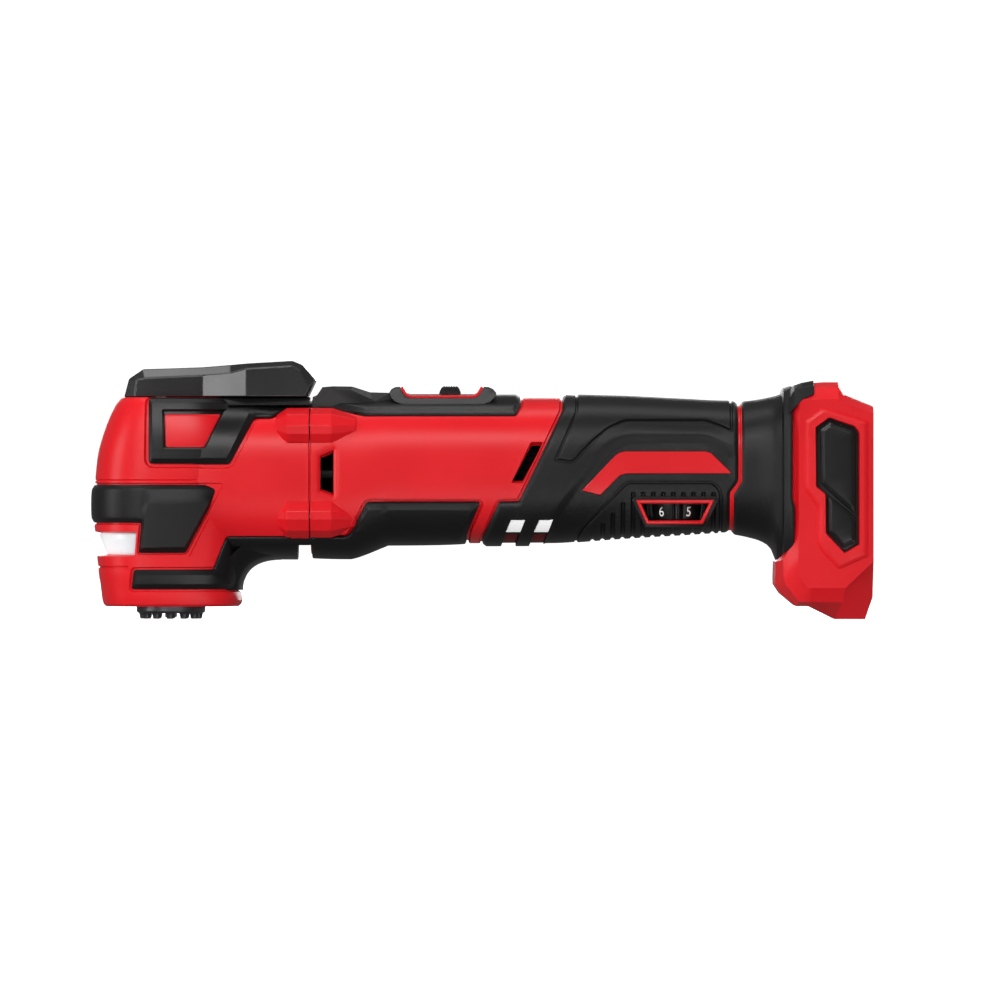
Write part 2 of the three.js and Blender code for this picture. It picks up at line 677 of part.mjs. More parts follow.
add("motor_bearing_rear", ringX(2.56, 8, -12, -8.2), "bright", 0.9);
add("lever_pin", rodY(2, -15, 15, PIVOT_X, PIVOT_Z), "bright", 0.9);
add("lever_bracket", leverBracket(), "steel", 0.8);
add("terminal_block", terminalBlock(), "black");
add("terminal_blade_left", terminalBlade(-5), "bright", 0.9);
add("terminal_blade_right", terminalBlade(5), "bright", 0.9);
add("control_board", controlBoard(), "board");
add("speed_pot", speedPot(), "steel");
add("microswitch", box(3, 15, -3, 3, 66, 76), "black");
HANDLE_SCREWS.forEach((place, i) => add(`handle_screw_${i + 1}`, handleScrew(place), "steel", 0.8));
HEAD_SCREWS.forEach((place, i) => add(`head_screw_${i + 1}`, headScrew(place), "steel", 0.8));
add("lever", lever(), "lever");
add("spindle", spindle(), "steel", 0.8);
add("spindle_fork", spindleFork(), "steel", 0.8);
add("accessory_holder", accessoryHolder(), "steel", 0.8);
add("clamp_plunger", clampPlunger(), "bright", 0.8);
add("clamp_spring", clampSpring(), "steel", 0.8);
add("clamp_jaw_left", clampJaw(-1), "steel", 0.8);
add("clamp_jaw_right", clampJaw(1), "steel", 0.8);
add("rotor_shaft", rotorShaft(), "bright", 0.9);
add("rotor_core", ringX(2.56, 10, -48, -18), "copper", 0.5);
add("fan", fan(), "black");
add("eccentric_bearing", ringX(3.56, 8, -92, -86, 0, MOTOR_Z + ECCENTRIC), "bright", 0.9);
add("switch_button", switchButton(), "black");
add("speed_dial", speedDial(), "rubber");

export default tool;
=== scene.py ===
import math

import bpy
import numpy as np
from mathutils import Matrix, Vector
from mathutils.geometry import delaunay_2d_cdt


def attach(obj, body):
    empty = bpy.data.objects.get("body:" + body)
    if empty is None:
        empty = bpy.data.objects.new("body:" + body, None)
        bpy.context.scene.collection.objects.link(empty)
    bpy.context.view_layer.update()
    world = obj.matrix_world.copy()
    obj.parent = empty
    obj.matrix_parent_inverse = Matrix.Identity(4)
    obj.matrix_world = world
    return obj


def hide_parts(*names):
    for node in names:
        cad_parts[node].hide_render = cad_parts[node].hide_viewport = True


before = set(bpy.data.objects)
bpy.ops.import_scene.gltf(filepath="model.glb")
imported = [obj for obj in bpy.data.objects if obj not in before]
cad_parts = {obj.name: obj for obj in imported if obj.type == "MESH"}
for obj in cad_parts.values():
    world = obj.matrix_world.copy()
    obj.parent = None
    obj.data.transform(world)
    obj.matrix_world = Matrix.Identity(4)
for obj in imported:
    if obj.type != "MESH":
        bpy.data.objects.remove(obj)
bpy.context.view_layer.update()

# The looks of a cordless oscillating multi-tool. Shapes are worked out in millimetres, in the frame's axes,
# and turned into metres as each piece is made. The left side is -Y, towards the camera.
METRE = 0.001

# Where the main shapes stand, along X unless the name says otherwise; PIVOT is [x, z] and DIAL is [x, y].
SPINDLE_X = -113.7
COLUMN_FOOT = 4.6
COLUMN_TOP = 80.8
HEAD_END_X = -62.7
HANDLE_START_X = -62.3
FOOT_REAR_X = 142.5
PIVOT = (-117.0, 82.0)
DIAL = (70.5, -11.0)
DIAL_RADIUS = 12.5
NUMBER_PITCH = 50

# The power of the rounded section, and the half axis at which its unrolled length is true.
ROUNDNESS = 2.8
UNIT = 27.0


# ---- curves and sections ----

def smooth_through(places, values, at):
    """A curve through the stations that never overshoots them."""
    places = np.asarray(places, float)
    values = np.asarray(values, float)
    gaps = np.diff(places)
    rises = np.diff(values) / gaps
    slopes = np.zeros(len(places))
    same = rises[:-1] * rises[1:] > 0
    mean = 2 * rises[:-1] * rises[1:] / np.where(same, rises[:-1] + rises[1:], 1)
    slopes[1:-1] = np.where(same, mean, 0)
    slopes[0], slopes[-1] = rises[0], rises[-1]
    at = np.clip(at, places[0], places[-1])
    k = np.clip(np.searchsorted(places, at) - 1, 0, len(gaps) - 1)
    t = (at - places[k]) / gaps[k]
    start = (1 + 2 * t) * (1 - t) ** 2 * values[k] + t * (1 - t) ** 2 * gaps[k] * slopes[k]
    end = t * t * (3 - 2 * t) * values[k + 1] + t * t * (t - 1) * gaps[k] * slopes[k + 1]
    return start + end


def quarter_section():
    """Across, out and length along a quarter of the rounded section, for half axes of 1."""
    tau = np.linspace(0, 1, 4001)
    low = 0.5 * (2 * np.minimum(tau, 0.5)) ** (ROUNDNESS / 2)
    high = 1 - 0.5 * (2 * np.minimum(1 - tau, 0.5)) ** (ROUNDNESS / 2)
    angle = np.where(tau < 0.5, low, high) * math.pi / 2
    across = np.sin(angle) ** (2 / ROUNDNESS)
    out = np.clip(np.cos(angle), 0, 1) ** (2 / ROUNDNESS)
    along = np.concatenate([[0], np.cumsum(np.hypot(np.diff(across), np.diff(out)))])
    return across, out, along


ACROSS, OUT, ALONG = quarter_section()
QUARTER = ALONG[-1] * UNIT


class Barrel:
    """A skin along X: u is x, v the length round the section from its side, up to the top."""

    def __init__(self, stations, square=None):
        self.x, self.top, self.bottom, self.half = np.array(stations, float).T
        self.square = square

    def beyond_seam(self, points):
        return np.abs(points[:, 1]) - QUARTER

    def seams(self, low, high):
        return [((low[0], side * QUARTER), (high[0], side * QUARTER)) for side in (-1, 1)]

    def section(self, x):
        top = smooth_through(self.x, self.top, x)
        bottom = smooth_through(self.x, self.bottom, x)
        return (top + bottom) / 2, (top - bottom) / 2, smooth_through(self.x, self.half, x)

    def unroll(self, x, z):
        middle, high, _ = self.section(x)
        zeta = (z - middle) / high
        beyond = np.clip(np.abs(zeta) - 1, 0, None) * high
        return x, np.sign(zeta) * (np.interp(np.abs(zeta), ACROSS, ALONG) * UNIT + beyond)

    def place(self, u, v, h):
        middle, high, half = self.section(u)
        length = np.abs(v) / UNIT
        up = np.sign(v) * np.interp(length, ALONG, ACROSS)
        side = np.interp(length, ALONG, OUT)
        if self.square:
            power = np.interp(u, *self.square)
            swell = (np.abs(up) ** power + side ** power) ** (-1 / power)
            up, side = up * swell, side * swell
        return np.stack([u, -(half + h) * side, middle + (high + h) * up], axis=-1)


class Column:
    """An upright skin round the spindle: u runs from nose to back round the left side, v is z."""

    def __init__(self, stations):
        self.z, self.front, self.rear, self.half = np.array(stations, float).T

    def beyond_seam(self, points):
        return np.abs(points[:, 0] - SPINDLE_X) - QUARTER

    def seams(self, low, high):
        ends = (SPINDLE_X - QUARTER, SPINDLE_X + QUARTER)
        return [((u, low[1]), (u, high[1])) for u in ends]

    def section(self, z):
        front = SPINDLE_X - smooth_through(self.z, self.front, z)
        rear = smooth_through(self.z, self.rear, z) - SPINDLE_X
        return front, rear, smooth_through(self.z, self.half, z)

    def unroll(self, x, z):
        front, rear, _ = self.section(z)
        away = x - SPINDLE_X
        reach = np.where(away < 0, front, rear)
        beyond = np.clip(np.abs(away) - reach, 0, None)
        return SPINDLE_X + np.sign(away) * (np.interp(np.abs(away) / reach, ACROSS, ALONG) * UNIT + beyond), z

    def place(self, u, v, h):
        front, rear, half = self.section(v)
        away = u - SPINDLE_X
        length = np.abs(away) / UNIT
        reach = np.where(away < 0, front, rear) + h
        along = np.sign(away) * np.interp(length, ALONG, ACROSS)
        return np.stack([SPINDLE_X + reach * along, -(half + h) * np.interp(length, ALONG, OUT), v], axis=-1)


class Flat:
    """A flat side at a distance from the middle of the tool."""

    def __init__(self, distance):
        self.distance = distance

    def beyond_seam(self, points):
        return np.full(len(points), -1.0)

    def seams(self, low, high):
        return []

    def unroll(self, x, z):
        return x, z

    def place(self, u, v, h):
        return np.stack([u, -(self.distance + h), v], axis=-1)


# ---- outlines ----

def rounded(corners, radius):
    """A closed outline with its corners rounded."""
    points = []
    count = len(corners)
    for i in range(count):
        before, here, after = (np.array(corners[(i + k) % count], float) for k in (-1, 0, 1))
        back, ahead = before - here, after - here
        reach = min(radius, 0.45 * np.linalg.norm(back), 0.45 * np.linalg.norm(ahead))
        start = here + back / np.linalg.norm(back) * reach
        end = here + ahead / np.linalg.norm(ahead) * reach
        for t in (0, 0.25, 0.5, 0.75, 1) if reach > 0.2 else (0.5,):
            points.append((1 - t) ** 2 * start + 2 * t * (1 - t) * here + t * t * end)
    return np.array(points)


def divided(loop, step):
    """The same closed loop with no edge longer than step."""
    points = []
    for here, after in zip(loop, np.roll(loop, -1, axis=0)):
        count = max(1, int(math.ceil(np.linalg.norm(after - here) / step)))
        points.extend(here + (after - here) * k / count for k in range(count))
    return np.array(points)


def loop_area(loop):
    x, y = loop.T
    return 0.5 * np.sum(x * np.roll(y, -1) - np.roll(x, -1) * y)


def anticlockwise(loop):
    return loop if loop_area(loop) > 0 else loop[::-1]


def without_repeats(loop):
    keep = np.linalg.norm(loop - np.roll(loop, 1, axis=0), axis=1) > 0.02
    return loop[keep]


def trace(surface, corners, radius=0.8, step=1.0):
    """An [x, z] outline, rounded, as a loop on the unrolled surface."""
    loop = divided(rounded(corners, radius), step)
    u, v = surface.unroll(loop[:, 0], loop[:, 1])
    return anticlockwise(without_repeats(np.stack([u, v], axis=-1)))


def inset(loop, distance):
    """The loop moved inwards, or outwards for a distance below 0."""
    if distance == 0:
        return loop
    ahead = np.roll(loop, -1, axis=0) - loop
    ahead /= np.linalg.norm(ahead, axis=1)[:, None]
    back = np.roll(ahead, 1, axis=0)
    normal = np.stack([-(ahead + back)[:, 1], (ahead + back)[:, 0]], axis=-1)
    size = np.linalg.norm(normal, axis=1)[:, None]
    normal /= np.maximum(size, 1e-6)
    return loop + normal * distance / np.clip(size / 2, 0.55, 1)


def depth_inside(points, loop, reach):
    """Distance of each point to the loop, above 0 inside, and no further than reach."""
    low, high = loop.min(axis=0) - reach, loop.max(axis=0) + reach
    near = np.all((points >= low) & (points <= high), axis=1)
    result = np.full(len(points), -float(reach))
    picked = points[near]
    if not len(picked):
        return result
    start, end = loop, np.roll(loop, -1, axis=0)
    edge = end - start
    best = np.full(len(picked), np.inf)
    inside = np.zeros(len(picked), bool)
    for a, b, e in zip(start, end, edge):
        offset = picked - a
        share = np.clip(offset @ e / max(e @ e, 1e-12), 0, 1)
        best = np.minimum(best, np.sum((offset - share[:, None] * e) ** 2, axis=1))
        if a[1] != b[1]:
            crosses = (a[1] > picked[:, 1]) != (b[1] > picked[:, 1])
            side = (b[0] - a[0]) * (picked[:, 1] - a[1]) / (b[1] - a[1]) + a[0]
            inside ^= crosses & (picked[:, 0] < side)
    distance = np.minimum(np.sqrt(best), reach)
    result[near] = np.where(inside, distance, -distance)
    return result


def grown(surface, corners, distance, radius=0.8):
    return inset(trace(surface, corners, radius), -distance)


# ---- sheets: detailed skins with pockets, ridges and bevelled edges ----

def sheet(surface, edge, rim, features=(), holes=(), facets=(), step=1.5):
    """A skin inside the loop edge. rim and each feature's profile list (distance inside, height).

    A facet is a flat raised to a height inside its second loop, with slopes out to its first.
    """
    far = 4.0 + max([d for _, profile in features for d, _ in profile] + [d for d, _ in rim])
    loops = [inset(edge, d) for d, _ in rim]
    loops += [inset(loop, d) for loop, profile in features for d, _ in profile]
    loops += [loop for facet in facets for loop in facet[:2]]
    loops += list(holes)
    points, edges = [], []
    for loop in loops:
        base = len(points)
        points.extend(loop)
        edges.extend((base + i, base + (i + 1) % len(loop)) for i in range(len(loop)))
    low, high = edge.min(axis=0), edge.max(axis=0)
    if np.max(surface.beyond_seam(edge)) > 0.5:
        for start, end in surface.seams(low, high):
            count = max(1, int(math.dist(start, end) / 1.2))
            base = len(points)
            points.extend(np.linspace(start, end, count + 1))
            edges.extend((base + i, base + i + 1) for i in range(count))
    us = np.arange(low[0] + step / 2, high[0], step)
    vs = np.arange(low[1] + step / 2, high[1], step)
    grid = np.stack(np.meshgrid(us, vs), axis=-1).reshape(-1, 2)
    grid[:, 0] += 0.5 * step * (np.round((grid[:, 1] - low[1]) / step) % 2)
    keep = (depth_inside(grid, edge, far) > 0.3 * step) & (surface.beyond_seam(grid) < -0.35 * step)
    for loop in loops:
        keep &= np.abs(depth_inside(grid, loop, step)) > 0.35 * step
    points.extend(grid[keep])
    made = delaunay_2d_cdt([Vector(p) for p in points], edges, [], 0, 1e-5, False)
    flat = np.array([tuple(p) for p in made[0]])
    faces = np.array([f for f in made[2] if len(f) == 3])
    middles = flat[faces].mean(axis=1)
    kept = (depth_inside(middles, edge, far) > 0) & (surface.beyond_seam(middles) < 0.001)
    for hole in holes:
        kept &= depth_inside(middles, hole, 1.0) < 0
    faces = faces[kept]
    one, two = flat[faces[:, 1]] - flat[faces[:, 0]], flat[faces[:, 2]] - flat[faces[:, 0]]
    areas = one[:, 0] * two[:, 1] - one[:, 1] * two[:, 0]
    faces[areas < 0] = faces[areas < 0][:, ::-1]
    faces = faces[np.abs(areas) > 1e-7]
    used, faces = np.unique(faces, return_inverse=True)
    flat, faces = flat[used], faces.reshape(-1, 3)
    inward = depth_inside(flat, edge, far)
    height = np.interp(inward, [d for d, _ in rim], [h for _, h in rim])
    for loop, profile in features:
        inside = np.clip(depth_inside(flat, loop, far), 0, None)
        height += np.interp(inside, [d for d, _ in profile], [h for _, h in profile])
    for outer, inner, rise in facets:
        inside = np.clip(depth_inside(flat, outer, 15.0), 0, None)
        outside = np.clip(-depth_inside(flat, inner, 15.0), 0, None)
        height += rise * inside / np.maximum(inside + outside, 1e-6)
    return surface.place(flat[:, 0], flat[:, 1], height), faces.tolist()


# ---- pieces ----

class Shape:
    """Vertices in millimetres and faces, gathered from several stretches, each with a material number."""

    def __init__(self):
        self.verts, self.faces, self.marks = [], [], []

    def add(self, verts, faces, mark=0):
        base = len(self.verts)
        self.verts.extend(map(tuple, verts))
        self.faces.extend([base + i for i in face] for face in faces)
        self.marks.extend([mark] * len(faces))
        return self

    def add_shape(self, other):
        for mark in sorted(set(other.marks)):
            faces = [f for f, m in zip(other.faces, other.marks) if m == mark]
            self.add(other.verts, faces, mark)
        return self

    def mirrored(self):
        other = Shape()
        other.verts = [(x, -y, z) for x, y, z in self.verts]
        other.faces = [face[::-1] for face in self.faces]
        other.marks = list(self.marks)
        return other

    def both(self):
        whole = Shape()
        whole.add_shape(self)
        return whole.add_shape(self.mirrored())


def make_piece(name, shape, materials, body, replaces=(), bevel=0, thickness=0, sharp=27,
               flattest=14):
    """A finished piece. Edges over flattest degrees are bevelled, or those over sharp degrees creased."""
    mesh = bpy.data.meshes.new(name)
    mesh.from_pydata([(x * METRE, y * METRE, z * METRE) for x, y, z in shape.verts], [], shape.faces)
    for material in materials:
        mesh.materials.append(material)
    mesh.polygons.foreach_set("material_index", shape.marks)
    mesh.validate()
    piece = bpy.data.objects.new(name, mesh)
    bpy.context.scene.collection.objects.link(piece)
    mesh.shade_smooth()
    if thickness:
        wall = piece.modifiers.new("wall", "SOLIDIFY")
        wall.thickness = thickness * METRE
        wall.offset = -1
        wall.use_even_offset = True
    if bevel:
        edge = piece.modifiers.new("edges", "BEVEL")
        edge.width = bevel * METRE
        edge.segments = 3
        edge.limit_method = "ANGLE"
        edge.angle_limit = math.radians(flattest)
        edge.harden_normals = True
    else:
        mesh.set_sharp_from_angle(angle=math.radians(sharp))
    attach(piece, body)
    if replaces:
        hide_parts(*replaces)


def make_pair(name, left, material, bevel=0, ending="", nodes=False, right=None):
    """A piece on the left of the housing and its mirror image on the right."""
    for side, shape in (("_left", left), ("_right", (right or left).mirrored())):
        replaces = [name + side] if nodes else ()
        make_piece(name + ending + side, shape, [material], "housing", replaces, bevel)


def make_skins(name, left, material, nodes=True, right=None):
    make_pair(name, left, material, ending="_skin", nodes=nodes, right=right)


def lofted(rings, close_ends=True, closed=True):
    """Quads between rings of points, with flat ends."""
    count = len(rings[0])
    verts = [tuple(p) for ring in rings for p in ring]
    faces = []
    for k in range(len(rings) - 1):
        for i in range(count if closed else count - 1):
            j = (i + 1) % count
            faces.append([k * count + i, (k + 1) * count + i, (k + 1) * count + j, k * count + j])
    if close_ends:
        faces.append(list(range(count)))
        faces.append([(len(rings) - 1) * count + i for i in reversed(range(count))])
    return verts, faces


def turned(profile, centre, steps=64, closed=True):
    """A profile of (radius, height) points turned round an upright axis."""
    rings = []
    for k in range(steps):
        c, s = math.cos(2 * math.pi * k / steps), math.sin(2 * math.pi * k / steps)
        rings.append([(centre[0] + r * c, centre[1] + r * s, h) for r, h in profile])
    rings.append(rings[0])
    return lofted(rings, close_ends=False, closed=closed)


def skin(surface, corners, radius, rim, *details, **more):
    """A shape of one sheet inside a rounded [x, z] outline."""
    return Shape().add(*sheet(surface, trace(surface, corners, radius), rim, *details, **more))


# ---- materials ----

def set_inputs(node, **inputs):
    """Set a node's inputs by name. An underscore stands for a space."""
    for name, value in inputs.items():
        node.inputs[name.replace("_", " ")].default_value = value
    return node


def add_node(tree, kind, **inputs):
    return set_inputs(tree.nodes.new("ShaderNode" + kind), **inputs)


def add_ramp(tree, low, high, start=0.0, end=1.0):
    node = add_node(tree, "ValToRGB")
    for element, position, colour in zip(node.color_ramp.elements, (start, end), (low, high)):
        element.position = position
        element.color = (*colour, 1)
    return node


def find_node(tree, kind):
    return next(node for node in tree.nodes if node.type == kind)


def moulded(name, colour, roughness, grain=0.04, grain_scale=2500, wear_and_highlight=0.0, metallic=0.0, shift=0.12,
            specular=0.5, glow=0.0):
    """A moulded or machined surface: fine grain, broad tone and gloss variation, paler edges that are both
    wear and a painted highlight, and a glow.
    """
    material = bpy.data.materials.new(name)
    material.use_nodes = True
    tree = material.node_tree
    link = tree.links.new
    shader = tree.nodes["Principled BSDF"]
    set_inputs(shader, Metallic=metallic, Specular_IOR_Level=specular)
    set_inputs(shader, Emission_Color=(1, 1, 1, 1), Emission_Strength=glow)
    place = add_node(tree, "TexCoord")
    broad = add_node(tree, "TexNoise", Scale=38, Detail=5)
    link(place.outputs["Object"], broad.inputs["Vector"])
    dark, pale = [c * (1 - shift) for c in colour], [min(1, c * (1 + shift)) for c in colour]
    tone = add_ramp(tree, dark, pale, 0.3, 0.7)
    link(broad.outputs["Fac"], tone.inputs["Fac"])
    geometry = add_node(tree, "NewGeometry")
    # Edges found by pointiness are made paler: partly wear, partly a painted highlight along the bevels.
    edge = add_node(tree, "MapRange", From_Min=0.52, From_Max=0.62, To_Max=wear_and_highlight)
    link(geometry.outputs["Pointiness"], edge.inputs["Value"])
    worn_and_lit_edges = add_node(tree, "Mix")
    worn_and_lit_edges.data_type = "RGBA"
    set_inputs(worn_and_lit_edges, B=(*[min(1, c * 1.5 + 0.05) for c in colour], 1))
    link(edge.outputs["Result"], worn_and_lit_edges.inputs["Factor"])
    link(tone.outputs["Color"], worn_and_lit_edges.inputs["A"])
    link(worn_and_lit_edges.outputs["Result"], shader.inputs["Base Color"])
    fine = add_node(tree, "TexNoise", Scale=grain_scale, Detail=3)
    link(place.outputs["Object"], fine.inputs["Vector"])
    gloss = add_node(tree, "MapRange", To_Min=max(0.02, roughness - 0.07), To_Max=min(1, roughness + 0.09))
    link(broad.outputs["Fac"], gloss.inputs["Value"])
    link(gloss.outputs["Result"], shader.inputs["Roughness"])
    bump = add_node(tree, "Bump", Strength=grain, Distance=0.0003)
    link(fine.outputs["Fac"], bump.inputs["Height"])
    link(bump.outputs["Normal"], shader.inputs["Normal"])
    return material


def brushed(name, colour, roughness):
    """Machined steel with fine lines."""
    material = moulded(name, colour, roughness, grain=0.05, metallic=1.0, wear_and_highlight=0.3)
    tree = material.node_tree
    lines = add_node(tree, "TexWave", Scale=900, Distortion=2.5)
    lines.bands_direction = "Z"
    tree.links.new(find_node(tree, "TEX_COORD").outputs["Object"], lines.inputs["Vector"])
    tree.links.new(lines.outputs["Fac"], find_node(tree, "BUMP").inputs["Height"])
    return material


def glowing(name, strength):
    """Frosted plastic lit from behind, brightest at its lower front."""
    material = moulded(name, (0.42, 0.43, 0.44), 0.3, grain=0.1, glow=strength)
    tree = material.node_tree
    link = tree.links.new
    lamp = (-0.1325, -0.012, 0.0262)
    reach = 0.014
    apart = add_node(tree, "VectorMath")
    apart.operation = "DISTANCE"
    apart.inputs[1].default_value = lamp
    link(find_node(tree, "TEX_COORD").outputs["Object"], apart.inputs[0])
    scale = add_node(tree, "MapRange", From_Max=reach)
    link(apart.outputs["Value"], scale.inputs["Value"])
    fall = add_ramp(tree, (1, 1, 1), (0.3, 0.31, 0.32))
    link(scale.outputs["Result"], fall.inputs["Fac"])
    link(fall.outputs["Color"], tree.nodes["Principled BSDF"].inputs["Emission Color"])
    return material


RED = moulded("red_shell", (0.70, 0.008, 0.014), 0.34, grain=0.03, wear_and_highlight=0.3, shift=0.05, specular=0.24)
RED_TRIM = moulded("red_trim", (0.70, 0.009, 0.015), 0.32, grain=0.02, wear_and_highlight=0.2, shift=0.04, specular=0.3)
# A darker copy of the housing red: painted shade for the recessed slots under the white inlays.
SHADED_RED = moulded("red_painted_shade", (0.14, 0.003, 0.005), 0.5, grain=0.05, shift=0.1, specular=0.2)
RUBBER = moulded("soft_rubber", (0.0055, 0.0055, 0.0058), 0.42, grain=0.16, grain_scale=3200, wear_and_highlight=0.4,
                 specular=0.26)
BLACK = moulded("black_plastic", (0.005, 0.005, 0.0053), 0.32, grain=0.1, grain_scale=2600, wear_and_highlight=0.4,
                specular=0.28)
# Near-black: painted shade for the hollow inside, seen through the slanted slots.
INSIDE_SHADE = moulded("painted_inside_shade", (0.0025, 0.0025, 0.0025), 0.7, grain=0.1, specular=0.1)
LEVER_GREY = moulded("lever_grey", (0.010, 0.010, 0.011), 0.22, grain=0.03, wear_and_highlight=0.4, specular=0.6)
DARK_STEEL = brushed("dark_steel", (0.09, 0.09, 0.10), 0.38)
BRIGHT_STEEL = brushed("bright_steel", (0.55, 0.55, 0.57), 0.3)
IRON = brushed("laminated_iron", (0.3, 0.24, 0.2), 0.45)
BOARD = moulded("circuit_board", (0.012, 0.11, 0.05), 0.4, grain=0.1)
# The white inlays glow a little: painted light that keeps them bright though they face down, away from the
# lamps.
WHITE_WITH_GLOW = moulded("white_inlay_glowing", (0.96, 0.96, 0.96), 0.35, grain=0.03, shift=0.02, glow=0.22)
DIGIT = moulded("digit_print", (0.92, 0.92, 0.92), 0.4, grain=0.03, shift=0.02)
LENS = glowing("lit_lens", 0.85)


# ---- the skins ----

# Stations of the column: height, front, rear and half width. Of the barrels: x, top, bottom and half width.
COLUMN = Column([
    (COLUMN_FOOT, -137.5, -88.9, 24.0), (5.4, -138.3, -88.0, 24.8), (7.2, -138.8, -87.5, 25.2),
    (9.6, -139.1, -88.2, 25.5), (18, -140.2, -87.6, 26.6), (42, -141.9, -85.5, 27.2),
    (55, -141.0, -85.5, 27.2), (60, -140.4, -85.5, 27.0), (65, -139.2, -85.6, 26.6), (69, -137.9, -86, 26.0),
    (73.3, -136.3, -87, 25.0), (76.1, -135.0, -88, 24.2), (79.2, -133.3, -89, 23.2),
    (80.3, -132.6, -89.5, 22.6), (COLUMN_TOP, -131.6, -90, 21.6),
])
HEAD = Barrel([
    (-111, 79.2, 24.2, 25.2), (-104, 79.5, 22.6, 26.4), (-94, 79.7, 22.4, 27.1), (-82, 79.7, 22.4, 27.35),
    (HEAD_END_X, 79.7, 22.4, 27.5),
])
HANDLE = Barrel([
    (HANDLE_START_X, 80.4, 22.3, 27.5), (-47.6, 80.6, 22.3, 27.5), (-46.6, 80.6, 22.5, 27.5),
    (-35, 80.8, 27.0, 27.5), (-34, 80.8, 27.4, 27.5), (27, 80.8, 27.7, 27.2), (34, 80.6, 28.1, 26.9),
    (50, 80.2, 29.3, 26.2), (73, 79.1, 30.7, 25.5), (90, 78.4, 31.6, 25.0), (99.8, 79.2, 29.9, 25.6),
    (105.2, 80.2, 27.3, 26.6), (106.4, 80.5, 25.4, 27.0), (107.2, 80.7, 22.6, 27.3),
    (109.1, 81.2, 21.9, 28.0), (109.7, 81.6, 21.8, 28.5), (112.0, 82.4, 21.6, 29.6),
    (114.2, 82.8, 21.4, 30.2),
], square=([96, 106, 113], [2.8, 3.2, 4.6]))
SHELL_RIM = [(0, -1.0), (0.08, -0.35), (0.35, 0)]
POCKET = [(0, 0), (0.12, -0.2), (0.45, -1.15)]
SHALLOW = [(0, 0), (0.1, -0.15), (0.35, -0.7)]

# Outlines on a side of the tool are [x, z] corners, and may run on past the edge of the skin they lie on.
CROWN = [
    (-121.4, 80.7), (-121.2, 56.6), (-91.6, 56.5), (-82.7, 73.9), (-76.4, 73.9), (-71.6, 76.8), (-60, 76.8),
    (-60, 80.7),
]
LEVER_WELL = [(-125, 74), (-102.8, 74), (-102.8, 95), (-125, 95)]
BADGE_RECESS = [(-116.2, 76.5), (-92.9, 76.5), (-100.3, 61.9), (-115.8, 61.9)]
BADGE = [(-115.3, 74.7), (-94.7, 74.7), (-100.9, 62.4), (-114.9, 62.4)]
BUMPER = [(-160, 49.1), (-94.5, 48.9), (-107.6, 24.1), (-124.8, 24.1), (-123.9, 35.1), (-160, 35.1)]
BUMPER_PAD = [(-122.6, 48.6), (-95.2, 48.5), (-107.9, 24.6), (-124.4, 24.6), (-123.4, 35.2)]
BUMPER_FACET = [(-120.5, 42.5), (-100.2, 42.5), (-108.3, 26.4), (-123.1, 26), (-122, 35)]
STRIP_FACET = [(-125.4, 16.1), (-125.8, 12.8), (-92, 12.8), (-97.8, 16.1)]
CROWN_FACET = [(-119.6, 78.9), (-119.3, 58.5), (-92.7, 58.4), (-84.6, 74.4), (-84.6, 78.9)]
LOWER_PAD_FACET = [(-41.2, 40.3), (-3.6, 40.3), (-8.6, 28.9), (-33.9, 29.3), (-38, 32.4), (-46.2, 32.4)]
STRIP = [(-126.8, 18.1), (-127.7, 10.8), (-70, 10.8), (-70, 29.7), (-92.6, 29.7), (-97.3, 18.2)]
NOTCH = [(-67.2, 27.6), (-50, 27.6), (-50, 5), (-67.2, 5)]
STRIP_UPPER = [(-99, 17), (-80, 10), (-60, 10), (-60, 29.7), (-92.6, 29.7), (-97.3, 18.2)]
LOWER_PAD = [
    (-61.9, 15), (-20, 15), (-7.8, 24), (-5.5, 27.8), (-5.2, 31), (-0.4, 42.4), (-41.8, 42.4), (-47.6, 30.9),
    (-49.2, 29.7), (-61.9, 29.7),
]
COVER = [(-61.9, 90), (-61.9, 77), (-54.2, 77), (-42.8, 74.4), (12.6, 74.4), (14.4, 77.8), (14.6, 90)]
GRIP = [
    (30, 90), (29.4, 76.1), (13.7, 42.8), (6.5, 42.7), (0.1, 28.9), (2.0, 18), (90.6, 18), (90.6, 45.9),
    (93.5, 50.4), (93.5, 90),
]
COLLAR = [
    (94.8, 95), (94.8, 50.2), (91.8, 45.6), (91.8, 5), (104, 5), (109.6, 22.4), (113.8, 25.9), (113.9, 41.6),
    (113.1, 44), (113.2, 77.2), (113.9, 79), (113.9, 95),
]
BAND = [(109.4, 110), (109.4, 23.5), (111.5, 20), (130, 20), (130, 110)]
FAN_VENT = [(-58.8, 59.7), (-53.7, 62.1), (-53.7, 44.6), (-58.8, 46.8)]
SLOT_VENT = [(18, 64.6), (22.5, 64.6), (15.2, 49.6), (10.8, 49.6)]
UPPER_FRAME = [
    (34.2, 95), (34.2, 75), (26.1, 57.4), (33.3, 56.5), (40.4, 63.5), (46.5, 68.6), (52.5, 71.2),
    (81.4, 71.2), (87, 69.3), (91.6, 67), (91.6, 95),
]
SHOULDER = [
    (26, 40), (33.5, 50.2), (42.5, 60.8), (47.5, 65.4), (53.5, 67.2), (82, 67.2), (87.5, 64.8), (92, 61),
    (93.3, 59.6), (93.3, 14), (14, 14),
]
STRIPE = [
    (36.4, 46.8), (48.6, 59.6), (50.4, 60.8), (52.5, 61.2), (81.4, 61.2), (83.6, 60.6), (91.3, 53),
    (52.9, 53), (50.4, 52.3), (43.3, 45.1),
]
RIBBED = [
    (33.9, 14), (33.9, 29.5), (35.4, 32), (51.6, 49.4), (53.6, 50.4), (84.4, 50.3), (86.9, 48),
    (87.8, 45.3), (87.8, 14),
]
